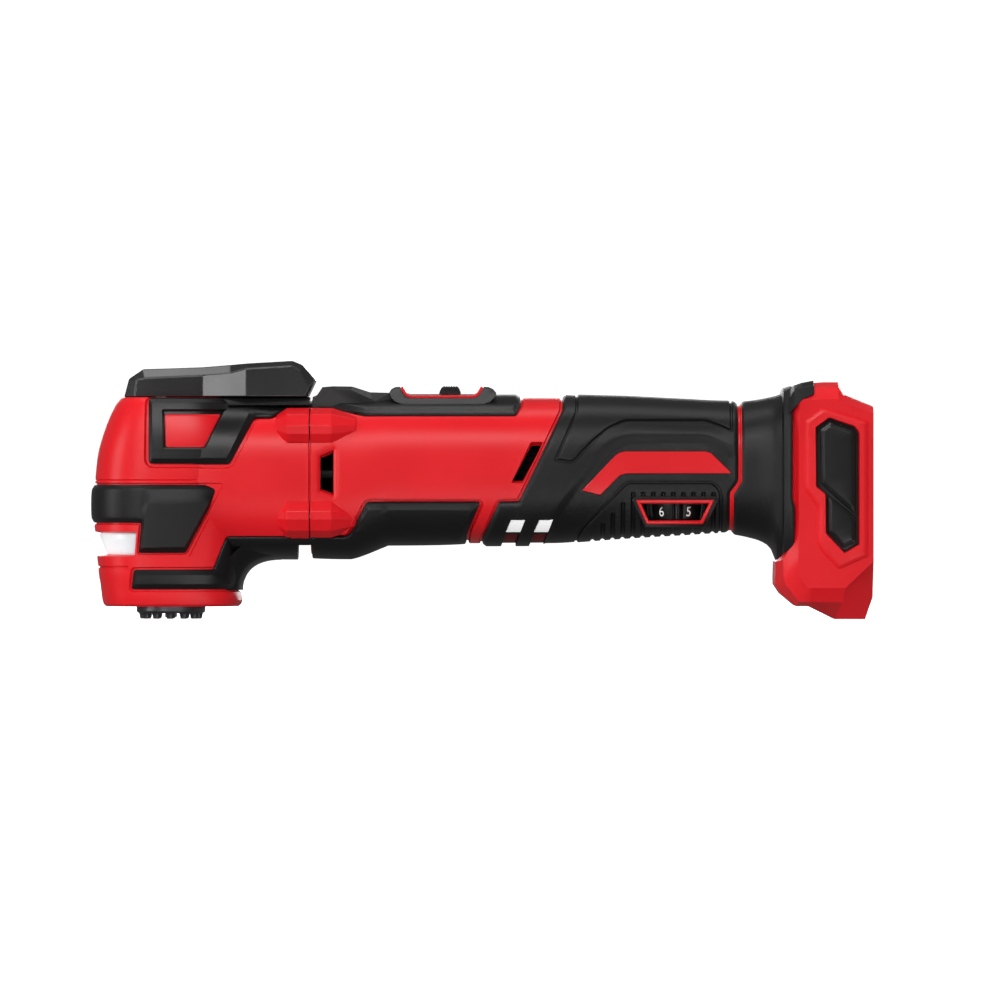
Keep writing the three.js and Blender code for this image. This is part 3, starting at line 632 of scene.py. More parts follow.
DIAL_FRAME = [(54.6, 43.4), (56.0, 44.8), (85.3, 44.8), (86.7, 43.4), (81.6, 33.2), (59.6, 33.2)]
DIAL_OUTER = [(56.1, 43.5), (84.9, 43.5), (80.7, 34.5), (60.1, 34.5)]
DIAL_INNER = [(58.2, 42.0), (82.7, 42.0), (79.8, 36.0), (60.8, 36.0)]
INLAYS = [
    [(10.7, 36.9), (16.1, 36.9), (14.3, 32.4), (8.7, 32.4)],
    [(21.0, 36.9), (26.2, 36.9), (24.4, 32.4), (18.9, 32.4)],
]
INLAY_SLOTS = [
    [(8.7, 31.9), (14.1, 31.9), (10.6, 22), (5, 22)],
    [(18.9, 31.9), (24.2, 31.9), (20.8, 22), (15.2, 22)],
]
FOOT_RAISED = [
    (117.2, 72.1), (123.7, 76.9), (125.5, 76.9), (140.6, 72.1), (140.6, 22.9), (129.7, 18.2), (123.1, 25.3),
    (121.9, 28.3), (122.2, 40.4), (117.2, 47.6),
]
FOOT_WINDOW = [
    (121.3, 69.9), (126.4, 73.6), (135.8, 70.3), (137.5, 67.9), (137.5, 27.1), (131.9, 23.9), (125, 31.3),
    (124.9, 45.5), (121.5, 48.2),
]
INSERT_UPPER = [
    (123, 69.1), (126.7, 71.9), (134.9, 68.9), (136.1, 67.6), (136.1, 38), (125.8, 46.9), (123.3, 49.4),
]
INSERT_LOWER = [(125.7, 45.6), (125.8, 31.8), (131.7, 25.9), (136.1, 28.1), (136.1, 37.2)]
SCREWS = [(0.5, 38), (30, 70), (92, 68), (92, 38)]


def screw_hole(x, z, radius=3.5, count=28):
    """A round hole in the right side of the handle, where a screw goes in."""
    turn = 2 * math.pi / count
    circle = [(x + radius * math.cos(i * turn), z + radius * math.sin(i * turn)) for i in range(count)]
    return trace(HANDLE, circle, 0.1)


def half_edge(start, end):
    """The whole left side of a barrel as a loop on its unrolled surface."""
    corners = np.array([(start, -QUARTER), (end, -QUARTER), (end, QUARTER), (start, QUARTER)])
    return divided(corners, 2.0)


# ---- head ----

def notch_cut():
    """The square notch across the underside, in front of the joint with the handle."""
    return trace(HEAD, NOTCH, 0.1), [(0, 0), (0.12, -5.6)]


def head_features(surface):
    found = [
        (grown(surface, CROWN, 1.6, 2.0), POCKET),
        (grown(surface, BUMPER, 0.7), SHALLOW),
        (grown(surface, STRIP, 0.9), SHALLOW),
    ]
    if surface is COLUMN:
        line = [(-160, 50.3), (-94.0, 50.3), (-93.0, 51.0), (-160, 51.0)]
        slant = [(-92.2, 49.6), (-93.0, 50.0), (-106.6, 22.9), (-105.9, 22.9)]
        lamp = [(-160, 31.9), (-125.5, 31.9), (-126.2, 22.9), (-160, 22.9)]
        found.append((trace(surface, line, 0.2), [(0, 0), (0.3, -0.35)]))
        found.append((trace(surface, slant, 0.1), [(0, 0), (0.3, -0.4)]))
        found.append((trace(surface, lamp, 0.6), [(0, 0), (0.3, -1.2), (0.9, -4.6)]))
        low_line = [(-160, 19.4), (-160, 18.5), (-128.6, 18.5), (-128.6, 19.4)]
        found.append((trace(surface, low_line, 0.1), [(0, 0), (0.28, -0.6)]))
    else:
        found.append(notch_cut())
    return found


def head_shell():
    shape = Shape()
    column_edge = divided(np.array([
        (SPINDLE_X - QUARTER, COLUMN_FOOT), (SPINDLE_X + QUARTER, COLUMN_FOOT),
        (SPINDLE_X + QUARTER, COLUMN_TOP), (SPINDLE_X - QUARTER, COLUMN_TOP),
    ]), 2.0)
    shape.add(*sheet(COLUMN, column_edge, [(0, 0), (0.2, 0)], head_features(COLUMN)))
    barrel_edge = half_edge(-110.5, HEAD_END_X)
    shape.add(*sheet(HEAD, barrel_edge, SHELL_RIM, head_features(HEAD), [trace(HEAD, LEVER_WELL, 0.5)]))
    lip_low = HEAD.unroll(-63.0, 28.5)[1]
    lip = [HEAD.place(np.full(60, u), np.linspace(lip_low, QUARTER, 60), -1.1) for u in (-64.5, -61.4)]
    shape.add(*lofted(lip, close_ends=False, closed=False))
    shape.add(*head_base())
    shape.add(*head_deck())
    return shape


def column_ring(z, inner=0.0):
    """Points round the left half of the column at a height, from nose to back."""
    u = np.linspace(SPINDLE_X - QUARTER, SPINDLE_X + QUARTER, 60)
    return COLUMN.place(u, np.full(60, z), -inner)


def head_base():
    """The flat underside, with the hole for the accessory holder."""
    outer = column_ring(COLUMN_FOOT)
    angles = np.linspace(math.pi, 2 * math.pi, 60)
    hole = [(SPINDLE_X + 13.2 * math.cos(a), 13.2 * math.sin(a), COLUMN_FOOT) for a in angles]
    deep = [(x, y, 11.0) for x, y, _ in hole]
    return lofted([outer, hole, deep], close_ends=False, closed=False)


def head_deck():
    """The flat top round the lever's well, and the well's walls."""
    outer = column_ring(COLUMN_TOP)
    lip = column_ring(COLUMN_TOP, 0.9)
    lip = [(max(x, -130.9) if y > -12.4 else x, max(y, -15.9), 80.9) for x, y, _ in lip]
    lip = [(min(x, -102.8), y, z) for x, y, z in lip]
    deep = [(x, y, 66.0) for x, y, _ in lip]
    return lofted([deep, lip, outer], close_ends=False, closed=False)


def crown_deck():
    """The left half of the black deck that the lever lies on when it is shut."""
    profile = [(0, 78), (0, 81.0), (-14.8, 81.0), (-16.2, 80.7), (-17.2, 79.9), (-18.6, 78)]
    return Shape().add(*lofted([[(x, y, z) for y, z in profile] for x in (-102.6, HEAD_END_X - 0.1)]))


def ear_pair(stations):
    """The left-hand faceted bosses, upper and lower. Each station gives an x and a size."""
    upper = [(19, 77), (24, 75.9), (27.3, 74.5), (29.5, 70.3), (29.2, 67.4), (27, 64.4), (19, 64)]
    lower = [(19, 43.6), (27, 43.2), (29.2, 39.3), (29.4, 36.4), (27.4, 32.2), (23.5, 29.7), (19, 29.7)]
    shape = Shape()
    for profile in (upper, lower):
        middle = (19, (profile[0][1] + profile[-1][1]) / 2)
        rings = []
        for x, size in stations:
            rings.append([(x, -middle[0] - size * (y - middle[0]), middle[1] + size * (z - middle[1]))
                          for y, z in profile])
        shape.add(*lofted(rings))
    return shape


def neck_fillet():
    """The left half of the hollow curve between the back of the column and the underside of the neck."""
    share = np.linspace(0, 1, 24)
    height = np.interp(share, [0, 0.6, 1], [0.9, 0.7, -1.2])
    under = HEAD.place(np.full(24, -73.5), -QUARTER + share * 23, height)
    behind = COLUMN.place(SPINDLE_X + QUARTER - share * 23, np.full(24, 10.5), height)
    corner = np.stack([behind[:, 0] + 0.4, (under[:, 1] + behind[:, 1]) / 2, under[:, 2] - 0.2], axis=-1)
    rings = [(1 - t) ** 2 * under + 2 * t * (1 - t) * corner + t * t * behind for t in np.linspace(0, 1, 16)]
    return Shape().add(*lofted(rings, close_ends=False, closed=False))


def make_shells():
    left = head_shell()
    make_piece("head_skin_left", left, [RED], "housing", ["head_shell_left"])
    make_piece("head_skin_right", left.mirrored(), [RED], "housing", ["head_shell_right"])
    for name, stations in (
        ("head_boss", [(-74.8, 0.58), (-70.8, 1), (HEAD_END_X, 1)]),
        ("handle_boss", [(HANDLE_START_X, 1), (-54.6, 1), (-45.6, 0.6)]),
    ):
        make_pair(name, ear_pair(stations), RED, 0.25)


def make_crown():
    crown = Shape()
    rim = [(0, -1.2), (0.08, -0.45), (0.4, -0.1), (0.7, 0.05)]
    recess = [(0, 0), (0.1, -0.1), (0.9, -1.1)]
    for surface in (COLUMN, HEAD):
        features = [(trace(surface, BADGE_RECESS, 0.9), recess)]
        edge = trace(surface, CROWN, 1.3)
        raised = (inset(edge, 0.7), trace(surface, CROWN_FACET, 0.6), 0.95)
        holes = [trace(HEAD, LEVER_WELL, 0.5)] if surface is HEAD else []
        crown.add(*sheet(surface, edge, rim, features, holes, [raised]))
    crown.add_shape(crown_deck())
    badge = skin(COLUMN, BADGE, 1.0, [(0, -1.0), (0.06, -0.1), (0.3, 0.15), (0.5, 0.2)])
    make_skins("head_upper_cover", crown, BLACK)
    make_skins("badge", badge, RED_TRIM)


def make_lower_strip():
    rim = [(0, -1.2), (0.08, -0.4), (0.3, -0.1), (0.5, 0.0)]
    edge = trace(COLUMN, STRIP, 0.9)
    bevel = (inset(edge, 0.5), trace(COLUMN, STRIP_FACET, 0.5), 1.0)
    strip = Shape().add(*sheet(COLUMN, edge, rim, facets=[bevel]))
    upper_rim = [(0, -1.2), (0.08, -0.3), (0.35, 0.0), (2.4, 0.75), (2.8, 0.82)]
    strip.add_shape(skin(HEAD, STRIP_UPPER, 0.9, upper_rim, [notch_cut()]))
    strip.add_shape(neck_fillet())
    make_skins("head_lower_grip", strip, BLACK)


def make_bumper():
    rim = [(0, -1.0), (0.08, 0.0), (0.4, 0.35), (1.6, 0.95), (1.9, 1.0)]
    pad = (trace(COLUMN, BUMPER_PAD, 0.4), trace(COLUMN, BUMPER_FACET, 0.5), 1.3)
    bumper = skin(COLUMN, BUMPER, 0.8, rim, facets=[pad])
    make_piece("nose_bumper_skin", bumper.both(), [RUBBER], "housing", ["nose_bumper"])


def make_lens():
    """The lit band round the nose, sloping back towards its lower edge."""
    top = 31.6
    window = [(-160, top), (-125.8, top), (-126.5, 23.2), (-160, 23.2)]
    lens = skin(COLUMN, window, 0.8, [(0, -4.5), (0.1, -2.4), (0.7, -1.6), (1.2, -1.4)])
    lens.verts = [(x + 0.3 * (top - z) * (-125.5 - x) / 14, y, z) for x, y, z in lens.verts]
    make_piece("led_lens_skin", lens.both(), [LENS], "housing", ["led_lens"])


# ---- handle ----

def handle_features(left):
    vent = trace(HANDLE, FAN_VENT, 0.5)
    found = [
        (grown(HANDLE, LOWER_PAD, 1.4, 1.2), POCKET),
        (grown(HANDLE, COVER, 0.9, 1.0), SHALLOW),
        (grown(HANDLE, GRIP, 1.1, 1.0), SHALLOW),
        (inset(vent, -1.1), [(0, 0), (0.2, -0.1), (1.1, -0.8)]),
        (vent, [(0, 0), (0.15, -2.4)]),
        (trace(HANDLE, SLOT_VENT, 0.5), [(0, 0), (0.15, -3.0)]),
    ]
    if not left:
        found += [(screw_hole(x, z), [(0, 0), (0.15, -0.3), (0.3, -6)]) for x, z in SCREWS]
    return found


def handle_holes(left):
    holes = [inset(trace(HANDLE, FAN_VENT, 0.5), 0.25), inset(trace(HANDLE, SLOT_VENT, 0.5), 0.25)]
    if left:
        holes.append(trace(HANDLE, DIAL_OUTER, 0.4))
    return holes


# The foot's outline at three distances from its middle: x and z at each of FOOT_LEVELS.
FOOT_CORNERS = [
    (113.4, 83.6, 113.9, 82.2, 115.9, 79.9), (120.7, 86, 121, 84.3, 121, 79.9),
    (124.3, 86.3, 124.4, 84.4, 124.6, 79.9), (129.8, 86.3, 129.8, 84.4, 129.8, 79.9),
    (131.9, 81.9, 131.9, 81, 131.9, 78.8), (FOOT_REAR_X, 77.6, FOOT_REAR_X, 76.8, FOOT_REAR_X, 74.8),
    (FOOT_REAR_X, 8, FOOT_REAR_X, 17.7, FOOT_REAR_X, 21.2), (139.7, 0, 136.8, 11.9, 137.2, 16.1),
    (128.8, 0, 131.3, 6.2, 132.3, 11.4), (119.2, 4.7, 119.6, 6.3, 121, 11.4),
    (114.6, 4.7, 115.5, 6.4, 118.6, 11.4), (109.2, 9.2, 110.6, 12.6, 115.2, 15.9),
    (106.9, 12.6, 109.8, 15.6, 115.2, 20), (107.2, 20.9, 109.6, 21.6, 115.2, 26.2),
    (112.6, 26.5, 112.8, 27, 115.5, 30), (112.6, 50, 112.8, 50, 115.4, 50),
    (112.6, 80.5, 112.9, 78.5, 115.7, 76.5),
]
REAR_TOP = 5
FOOT_LEVELS = (22.0, 28.5, 31.5)


def foot_shell():
    """The left half of the foot: bevelled rim, side face with its raised ring, back plate and battery bay."""
    shape = Shape()
    rings = []
    for level in range(3):
        rings.append([(c[2 * level], -FOOT_LEVELS[level], c[2 * level + 1]) for c in FOOT_CORNERS])
    shape.add(*lofted(rings, close_ends=False))
    centre = [(c[0], 0.0, c[1]) for c in FOOT_CORNERS]
    verts, faces = lofted([centre, rings[0]], close_ends=False)
    shape.add(verts, [f for i, f in enumerate(faces) if i != REAR_TOP])
    raised = [(0, 0), (0.15, 0.35), (1.4, 1.0), (1.7, 1.05)]
    window = [(0, 0), (0.1, -0.3), (0.5, -4.3)]
    face = trace(Flat(0), [(x, z) for *_, x, z in FOOT_CORNERS], 0.05, 2.0)
    features = [(trace(Flat(0), FOOT_RAISED, 1.0), raised), (trace(Flat(0), FOOT_WINDOW, 0.6), window)]
    shape.add(*sheet(Flat(FOOT_LEVELS[2]), face, [(0, 0), (0.3, 0)], features, step=2.5))
    shape.add(*battery_bay())
    return shape


def battery_bay():
    """The left half of the back plate and of the bay behind it."""
    top, bottom, half, deep = 72.0, 10.0, 21.0, 118.0
    rear = FOOT_REAR_X
    outer = [(rear, 0, 77.6), (rear, -22, 77.6), (rear, -22, 8), (rear, 0, 8)]
    mouth = [(rear, 0, top), (rear, -half, top), (rear, -half, bottom), (rear, 0, bottom)]
    edge = 0.8
    lip = [(rear - edge, y, z) for y, z in (
        (0, top - edge), (edge - half, top - edge), (edge - half, bottom + edge), (0, bottom + edge))]
    back = [(deep, y, z) for _, y, z in lip]
    verts, faces = lofted([outer, mouth, lip, back], close_ends=False, closed=False)
    faces.append([12, 13, 14, 15])
    return verts, [face[::-1] for face in faces]


def bay_rail():
    """A rail along the left wall of the bay."""
    section = [(20.6, 64.5), (18.0, 63.8), (17.5, 63.2), (17.5, 60.8), (18.0, 60.2), (20.6, 59.5)]
    return lofted([[(x, -y, z) for y, z in section] for x in (117.5, 139.6, 141)])


def handle_shell(left):
    shape = Shape()
    edge = half_edge(HANDLE_START_X, 114.1)
    shape.add(*sheet(HANDLE, edge, SHELL_RIM, handle_features(left), handle_holes(left)))
    shape.add_shape(foot_shell())
    shape.add(*bay_rail())
    return shape


def rib_slots():
    """Grooves between the grip's ribs, with round upper ends."""
    pitch, width = 3.66, 1.75
    slots = []
    for i in range(-4, 9):
        x = 55.2 + i * pitch
        top = 46.5 if i >= 0 else 46.5 + i * 3.75
        slots.append([(x - width / 2, top), (x + width / 2, top), (x + width / 2, 12), (x - width / 2, 12)])
    return slots


def grip(left):
    frame_groove = [(0, 0), (0.3, -0.55), (0.75, -0.55), (1.15, 0.25), (1.5, 0.32)]
    shoulder = [(0, 0), (0.6, -0.12), (3.2, -1.0), (3.6, -1.05)]
    zone = [(0, 0), (0.3, -0.5), (0.9, -0.5), (1.3, 0.15), (1.6, 0.2)]
    features = [
        (trace(HANDLE, UPPER_FRAME, 1.2), frame_groove),
        (trace(HANDLE, SHOULDER, 4.0), shoulder),
        (trace(HANDLE, RIBBED, 1.6), zone),
        (trace(HANDLE, STRIPE, 0.3), [(0, 0), (0.12, -0.4)]),
    ]
    features += [(trace(HANDLE, slot, 0.85), [(0, 0), (0.2, -0.35), (0.7, -0.7)]) for slot in rib_slots()]
    features += [(trace(HANDLE, inlay, 0.2), [(0, 0), (0.12, -0.5)]) for inlay in INLAYS]
    features += [(trace(HANDLE, slot, 0.2), [(0, 0), (0.12, -1.3)]) for slot in INLAY_SLOTS]
    holes = []
    if left:
        holes = [inset(trace(HANDLE, DIAL_FRAME, 0.8), 0.2)]
    else:
        features += [(screw_hole(x, z), [(0, 0), (0.2, -0.5), (0.4, -7)]) for x, z in SCREWS[1:]]
    rim = [(0, -1.2), (0.08, 0.1), (0.35, 0.45), (1.25, 1.1), (1.5, 1.15)]
    return skin(HANDLE, GRIP, 0.9, rim, features, holes, step=1.3)


def make_grip_inlays():
    """The blank red stripe, the white inlays, brightened by a painted glow, and the slots below them, dark
    red as painted shade.
    """
    make_skins("grip_stripe", skin(HANDLE, STRIPE, 0.35, [(0, -1.0), (0.1, -0.1), (0.3, 0.0)]), RED_TRIM,
               nodes=False)
    white, slots = Shape(), Shape()
    for inlay in INLAYS:
        white.add_shape(skin(HANDLE, inlay, 0.25, [(0, -1.0), (0.1, 0.85), (0.25, 1.0)]))
    for slot in INLAY_SLOTS:
        slots.add_shape(skin(HANDLE, slot, 0.2, [(0, -1.0), (0.1, -0.2), (0.25, -0.1)]))
    make_skins("grip_inlays", white, WHITE_WITH_GLOW, nodes=False)
    make_skins("grip_slots", slots, SHADED_RED, nodes=False)


def vent_screens():
    """Louvred plates behind the slanted slots of both sides, near-black as painted shade of the hollow
    inside.
    """
    back = inset(trace(HANDLE, SLOT_VENT, 0.5), -4.0)
    shape = Shape().add(*sheet(HANDLE, back, [(0, -7.4), (0.3, -7.3)]))
    for i in range(4):
        low = 51.5 + i * 3.2
        x = 12.4 + (low - 49.6) * 0.49
        bar = [(x - 0.6, low), (x + 2.9, low), (x + 3.3, low + 0.9), (x - 0.2, low + 0.9)]
        shape.add_shape(skin(HANDLE, bar, 0.2, [(0, -7.6), (0.15, -6.1), (0.3, -6.0)]))
    return shape


def collar_cap():
    """The left half of the rubber that runs from the collar up over the front of the foot."""
    stations = (
        (111.8, (-31.4, 74.5), (-29.2, 79.6), (-22.3, 82.6), 83.0),
        (113.7, (-32.2, 76.9), (-29.7, 83.2), (-22.3, 85.0), 85.1),
        (116.7, (-31.7, 79.9), (-29.4, 84.2), (-22.3, 86.1), 86.2),
        (120.9, (-31.0, 82.0), (-29.4, 85.0), (-22.3, 86.9), 87.0),
    )
    rings = []
    for x, low, middle, high, top in stations:
        rings.append([(x, 0, 75), (x, 0, top), (x, *high), (x, *middle), (x, *low)])
    return Shape().add(*lofted(rings))


def make_lower_pad():
    edge = trace(HANDLE, LOWER_PAD, 1.0)
    rim = [(0, -1.2), (0.08, 0.0), (0.3, 0.25), (0.5, 0.3)]
    raised = (inset(edge, 0.5), trace(HANDLE, LOWER_PAD_FACET, 0.6), 0.85)
    pad = Shape().add(*sheet(HANDLE, edge, rim, facets=[raised]))
    make_skins("lower_pad", pad, RUBBER)


def make_collar():
    rim = [(0, -1.0), (0.08, 0.0), (0.3, 0.35), (0.9, 0.75), (1.2, 0.8)]
    band = (trace(HANDLE, BAND, 0.3), [(0, 0), (0.3, 1.2), (0.7, 1.7)])
    make_skins("foot_collar", skin(HANDLE, COLLAR, 0.9, rim, [band]), RUBBER)


def make_foot_inserts():
    """The two plates in the window of the foot, and the floor behind them."""
    side = Flat(30.9)
    floor = inset(trace(side, FOOT_WINDOW, 0.6, 2.0), 0.35)
    insert = Shape().add(*sheet(side, floor, [(0, -2.6), (0.1, -1.6), (0.4, -1.5)], step=3.0))
    rim = [(0, -2.5), (0.08, -0.9), (0.3, -0.5), (1.5, 0.0), (1.7, 0.05)]
    for corners in (INSERT_UPPER, INSERT_LOWER):
        insert.add(*sheet(side, trace(side, corners, 0.4, 2.0), rim, step=3.0))
    make_skins("foot_insert", insert, BLACK)


def make_handle():
    make_skins("handle_shell", handle_shell(True), RED, right=handle_shell(False))
    make_lower_pad()
    make_skins("handle_grip", grip(True), RUBBER, right=grip(False))
    make_collar()
    make_skins("vent_screen", vent_screens(), INSIDE_SHADE, nodes=False)
    make_pair("collar_cap", collar_cap(), RUBBER, 0.3)
    make_grip_inlays()
    make_foot_inserts()


def skin_distance(x, z):
    """How far the handle's skin is from the middle, at a place on its side."""
    u, v = HANDLE.unroll(np.array(x), np.array(z))
    return -float(HANDLE.place(u, v, 0.0)[1])


def dial_lift(z):
    """The dial and its frame stand nearer upright than the skin that curves away below them."""
    full_distance = 24.3
    return 0.75 * max(0, full_distance - skin_distance(DIAL[0], z))


def wheel_radius(z):
    return min(DIAL_RADIUS, skin_distance(DIAL[0], z) + dial_lift(z) + DIAL[1] - 0.75)


def make_dial():
    bezel = Shape()
    side = Flat(0)
    outer, inner, around = (trace(side, corners, 0.6) for corners in (DIAL_OUTER, DIAL_INNER, DIAL_FRAME))
    frame_rim = [(0, -5.0), (0.1, 0.8), (0.5, 1.2), (1.0, 1.15)]
    red_rim = [(0, 0.8), (0.1, 1.3), (0.4, 1.55), (1.0, 1.5), (1.3, 1.1), (1.45, -0.7)]
    for mark, edge, rim, hole in ((1, around, frame_rim, outer), (0, outer, red_rim, inner)):
        verts, faces = sheet(side, edge, rim, [], [hole], step=1.2)
        bezel.add([(x, y - skin_distance(x, z) - dial_lift(z), z) for x, y, z in verts], faces, mark)
    make_piece("dial_bezel_skin", bezel, [RED_TRIM, RUBBER], "housing", ["dial_bezel"])
    make_piece("speed_dial_wheel", dial_wheel(), [BLACK], "dial", ["speed_dial"])
    for number in range(1, 7):
        add_digit(number, math.radians(-25 + NUMBER_PITCH * (6 - number)))


def dial_wheel():
    """A thumb wheel with flat number fields between bundles of ridges."""
    steps = 360
    low, high = 35.2, 43.2
    ridge_pitch, ridge_reach = 2.4, 6.1
    ridges = []
    for i in range(steps):
        degrees = (i * 360 / steps) % NUMBER_PITCH
        in_bundle = min(degrees, NUMBER_PITCH - degrees) < ridge_reach
        ridges.append(0.5 * max(0, math.cos(math.radians(degrees * 360 / ridge_pitch))) if in_bundle else 0)
    levels = [(0.7, low), (0.97, low)]
    levels += [(1.0, 35.5 + i * 0.92) for i in range(9)]
    levels += [(0.97, high), (0.3, high)]
    rings = []
    for share, z in levels:
        ring = []
        for i, ridge in enumerate(ridges):
            angle = -2 * math.pi * i / steps - math.pi / 2
            radius = share * (wheel_radius(z) - 0.4 + ridge)
            ring.append((DIAL[0] + radius * math.cos(angle), DIAL[1] + radius * math.sin(angle), z))
        rings.append(ring)
    return Shape().add(*lofted(rings))


def add_digit(number, angle):
    """One raised digit wrapped on the wheel."""
    text = bpy.data.curves.new("digit", "FONT")
    text.body = str(number)
    text.size = 5.0
    text.align_x = "CENTER"
    text.align_y = "CENTER"
    text.extrude = 0.05
    source = bpy.data.objects.new("digit", text)
    bpy.context.scene.collection.objects.link(source)
    mesh = bpy.data.meshes.new_from_object(source.evaluated_get(bpy.context.evaluated_depsgraph_get()))
    bpy.data.objects.remove(source)
    shape = Shape()
    verts = []
    middle_z = 39.0
    for vertex in mesh.vertices:
        turn = angle + vertex.co.x * 0.9 / DIAL_RADIUS
        z = middle_z + vertex.co.y
        radius = wheel_radius(z) - 0.37 + vertex.co.z
        verts.append((DIAL[0] + radius * math.sin(turn), DIAL[1] - radius * math.cos(turn), z))
    shape.add(verts, [list(p.vertices) for p in mesh.polygons])
    make_piece(f"dial_digit_{number}", shape, [DIGIT], "dial")


# ---- switch ----

def top_box(x0, x1, reach, step=2.0):
    """A loop on the unrolled handle, reach wide down from its top line and running past it."""
    corners = np.array([(x0, QUARTER - reach), (x1, QUARTER - reach), (x1, QUARTER + 12), (x0, QUARTER + 12)])
    return divided(corners, step)


HUMP_TOP = [
    (-61.6, 77.5), (-61.6, 81), (-60, 81.7), (-58, 84.6), (-54.1, 84.9), (-47.1, 84.8), (-40.6, 82.7),
    (-33.0, 82.5), (-32.4, 77.5),
]
HUMP_SIDE = [
    (-61.6, 77.5), (-61.6, 80.3), (-60.4, 80.8), (-58.6, 83.2), (-54.1, 83.7), (-47.6, 83.5), (-39.8, 80.1),
    (-39.0, 79.5), (-38.4, 77.5),
]
TUB_BASE = [
    (-33.6, 95), (-33.6, 81.6), (-32.4, 79.4), (-30.6, 78.1), (-28.4, 77.7), (0.2, 77.7), (2.4, 78.1),
    (4.2, 79.4), (5.4, 81.6), (5.4, 95),
]
TUB_WELL = [(-28.8, 82.6), (-27.7, 81.2), (-26.2, 80.6), (-2.8, 80.6), (-1.2, 81.2), (-0.1, 82.6)]
TUB_FRAME = [(-33.1, 80.9), (-33.6, 82.7), (-32.8, 83.9), (-31.4, 84.6), (-29.8, 84.7)] + TUB_WELL + [
    (0.9, 84.7), (2.6, 84.6), (4.2, 83.9), (5.4, 82.5), (4.8, 80.7), (3.2, 79.2), (0.7, 78.4), (-29.0, 78.4),
    (-31.4, 79.2),
]
TUB_LINER = [(-29.7, 84.2)] + TUB_WELL + [
    (0.8, 84.2), (-0.2, 84.9), (-1.3, 82.9), (-2.1, 82.0), (-3.4, 81.6), (-25.6, 81.6), (-26.9, 82.0),
    (-27.7, 82.9), (-28.8, 84.9),
]


def across(outline, half, slope, lean=0.0, hole=None):
    """A bar across the top of the tool with an [x, z] outline, its ends sloping in and leaning back.

    A hole is an [x, y] loop, lined from the top of the tub's floor down to below it.
    """
    low = min(z for _, z in outline)
    middle = sum(x for x, _ in outline) / len(outline)
    rings = []
    for y, drop in ((-half - slope, 0.72), (-half, 0), (half, 0), (half + slope, 0.72)):
        share = 0.35 * slope * drop
        rings.append([(
            x + math.copysign(share, middle - x), y - math.copysign(lean * (z - low), y),
            z - drop * slope * (z - low) / 7) for x, z in outline])
    shape = Shape().add(*lofted(rings))
    if hole:
        edges = [[(x, y, z) for x, y in hole[::-1]] for z in (81.61, 79.0)]
        shape.add(*lofted(edges, close_ends=False))
    return shape


def box(x0, x1, half, top, bottom):
    corners = ((x0, -half), (x1, -half), (x1, half), (x0, half))
    return lofted([[(x, y, z) for x, y in corners] for z in (top, bottom)])


def make_switch_cover():
    """The cover of the switch, with a hump in front and the frame of the tub."""
    rim = [(0, -1.0), (0.08, 0.1), (0.35, 0.55), (1.8, 1.3), (2.2, 1.35)]
    tub_floor = top_box(-26.4, -2.4, 8.7)
    ledge = [(0, 0), (0.15, 0.7), (0.45, 0.95), (0.75, 0.9), (1.15, 0.45), (1.5, 0.4)]
    features = [(trace(HANDLE, TUB_BASE, 0.8), ledge)]
    cover = skin(HANDLE, COVER, 1.0, rim, features, [tub_floor]).both()
    sections = ((-18.0, HUMP_SIDE), (-15.8, HUMP_TOP), (15.8, HUMP_TOP), (18.0, HUMP_SIDE))
    cover.add(*lofted([[(x, y, z) for x, z in outline] for y, outline in sections]))
    cover.add_shape(across(TUB_FRAME, 18.7, 0.8, lean=0.32))
    make_piece("switch_cover_skin", cover, [BLACK], "housing", ["switch_cover"], 0.3)


def make_switch():
    make_switch_cover()
    slot = [(-21.6, 2.6), (-8.9, 2.6), (-8.9, -2.6), (-21.6, -2.6)]
    liner = across(TUB_LINER, 16.6, 0.5, hole=slot)
    make_piece("switch_bezel_skin", liner, [RED_TRIM], "housing", ["switch_bezel"], 0.2)
    ridges = [(-13.6 + i * 0.44, 85.1 - 0.35 * (i % 2)) for i in range(11)]
    outline = [(-15.8, 81.2), (-15.3, 83.2), (-14.6, 84.5)] + ridges
    outline += [(-8.3, 84.5), (-7.7, 83.2), (-7.2, 81.2)]
    sections = ((-6.5, 0.7), (-6, 0), (6, 0), (6.5, 0.7))
    knob = Shape().add(*lofted([[(x, y, z - drop) for x, z in outline[::-1]] for y, drop in sections]))
    knob.add(*box(-14.2, -10.2, 2, 82, 74)).add(*box(-15, 2, 4, 76, 73.6))
    make_piece("switch_knob", knob, [BLACK], "switch_slider", ["switch_button"], sharp=35)


# ---- lever and accessory holder ----

LEVER = [
    (-130.5, 81.0, -126.6, 81.0, 15.4), (-128.7, 87.7, -125.9, 87.4, 15.4),
    (-123.5, 91.2, -122.6, 88.0, 15.4), (-112.9, 91.5, -112.9, 88.4, 15.4),
    (-101.8, 91.9, -101.8, 88.9, 15.5), (-91.8, 92.7, -91.8, 89.7, 16.9), (-85, 93.3, -85.8, 91.3, 18.4),
    (-69.0, 94.2, -69.2, 92.3, 18.5), (-65.3, 92.7, -66.0, 90.2, 18.3), (-60.5, 87.2, -62.6, 84.6, 17.5),
    (-63.4, 81.1, -64.2, 81.1, 17.5),
]


def lever_ring(side, core):
    """One lengthwise line of the lever: the edge of its top, or of its side."""
    points = []
    for x, z, face_x, face_z, half in LEVER:
        points.append((x, side * (half - 3.4), z) if core else (face_x, side * half, face_z))
    return points


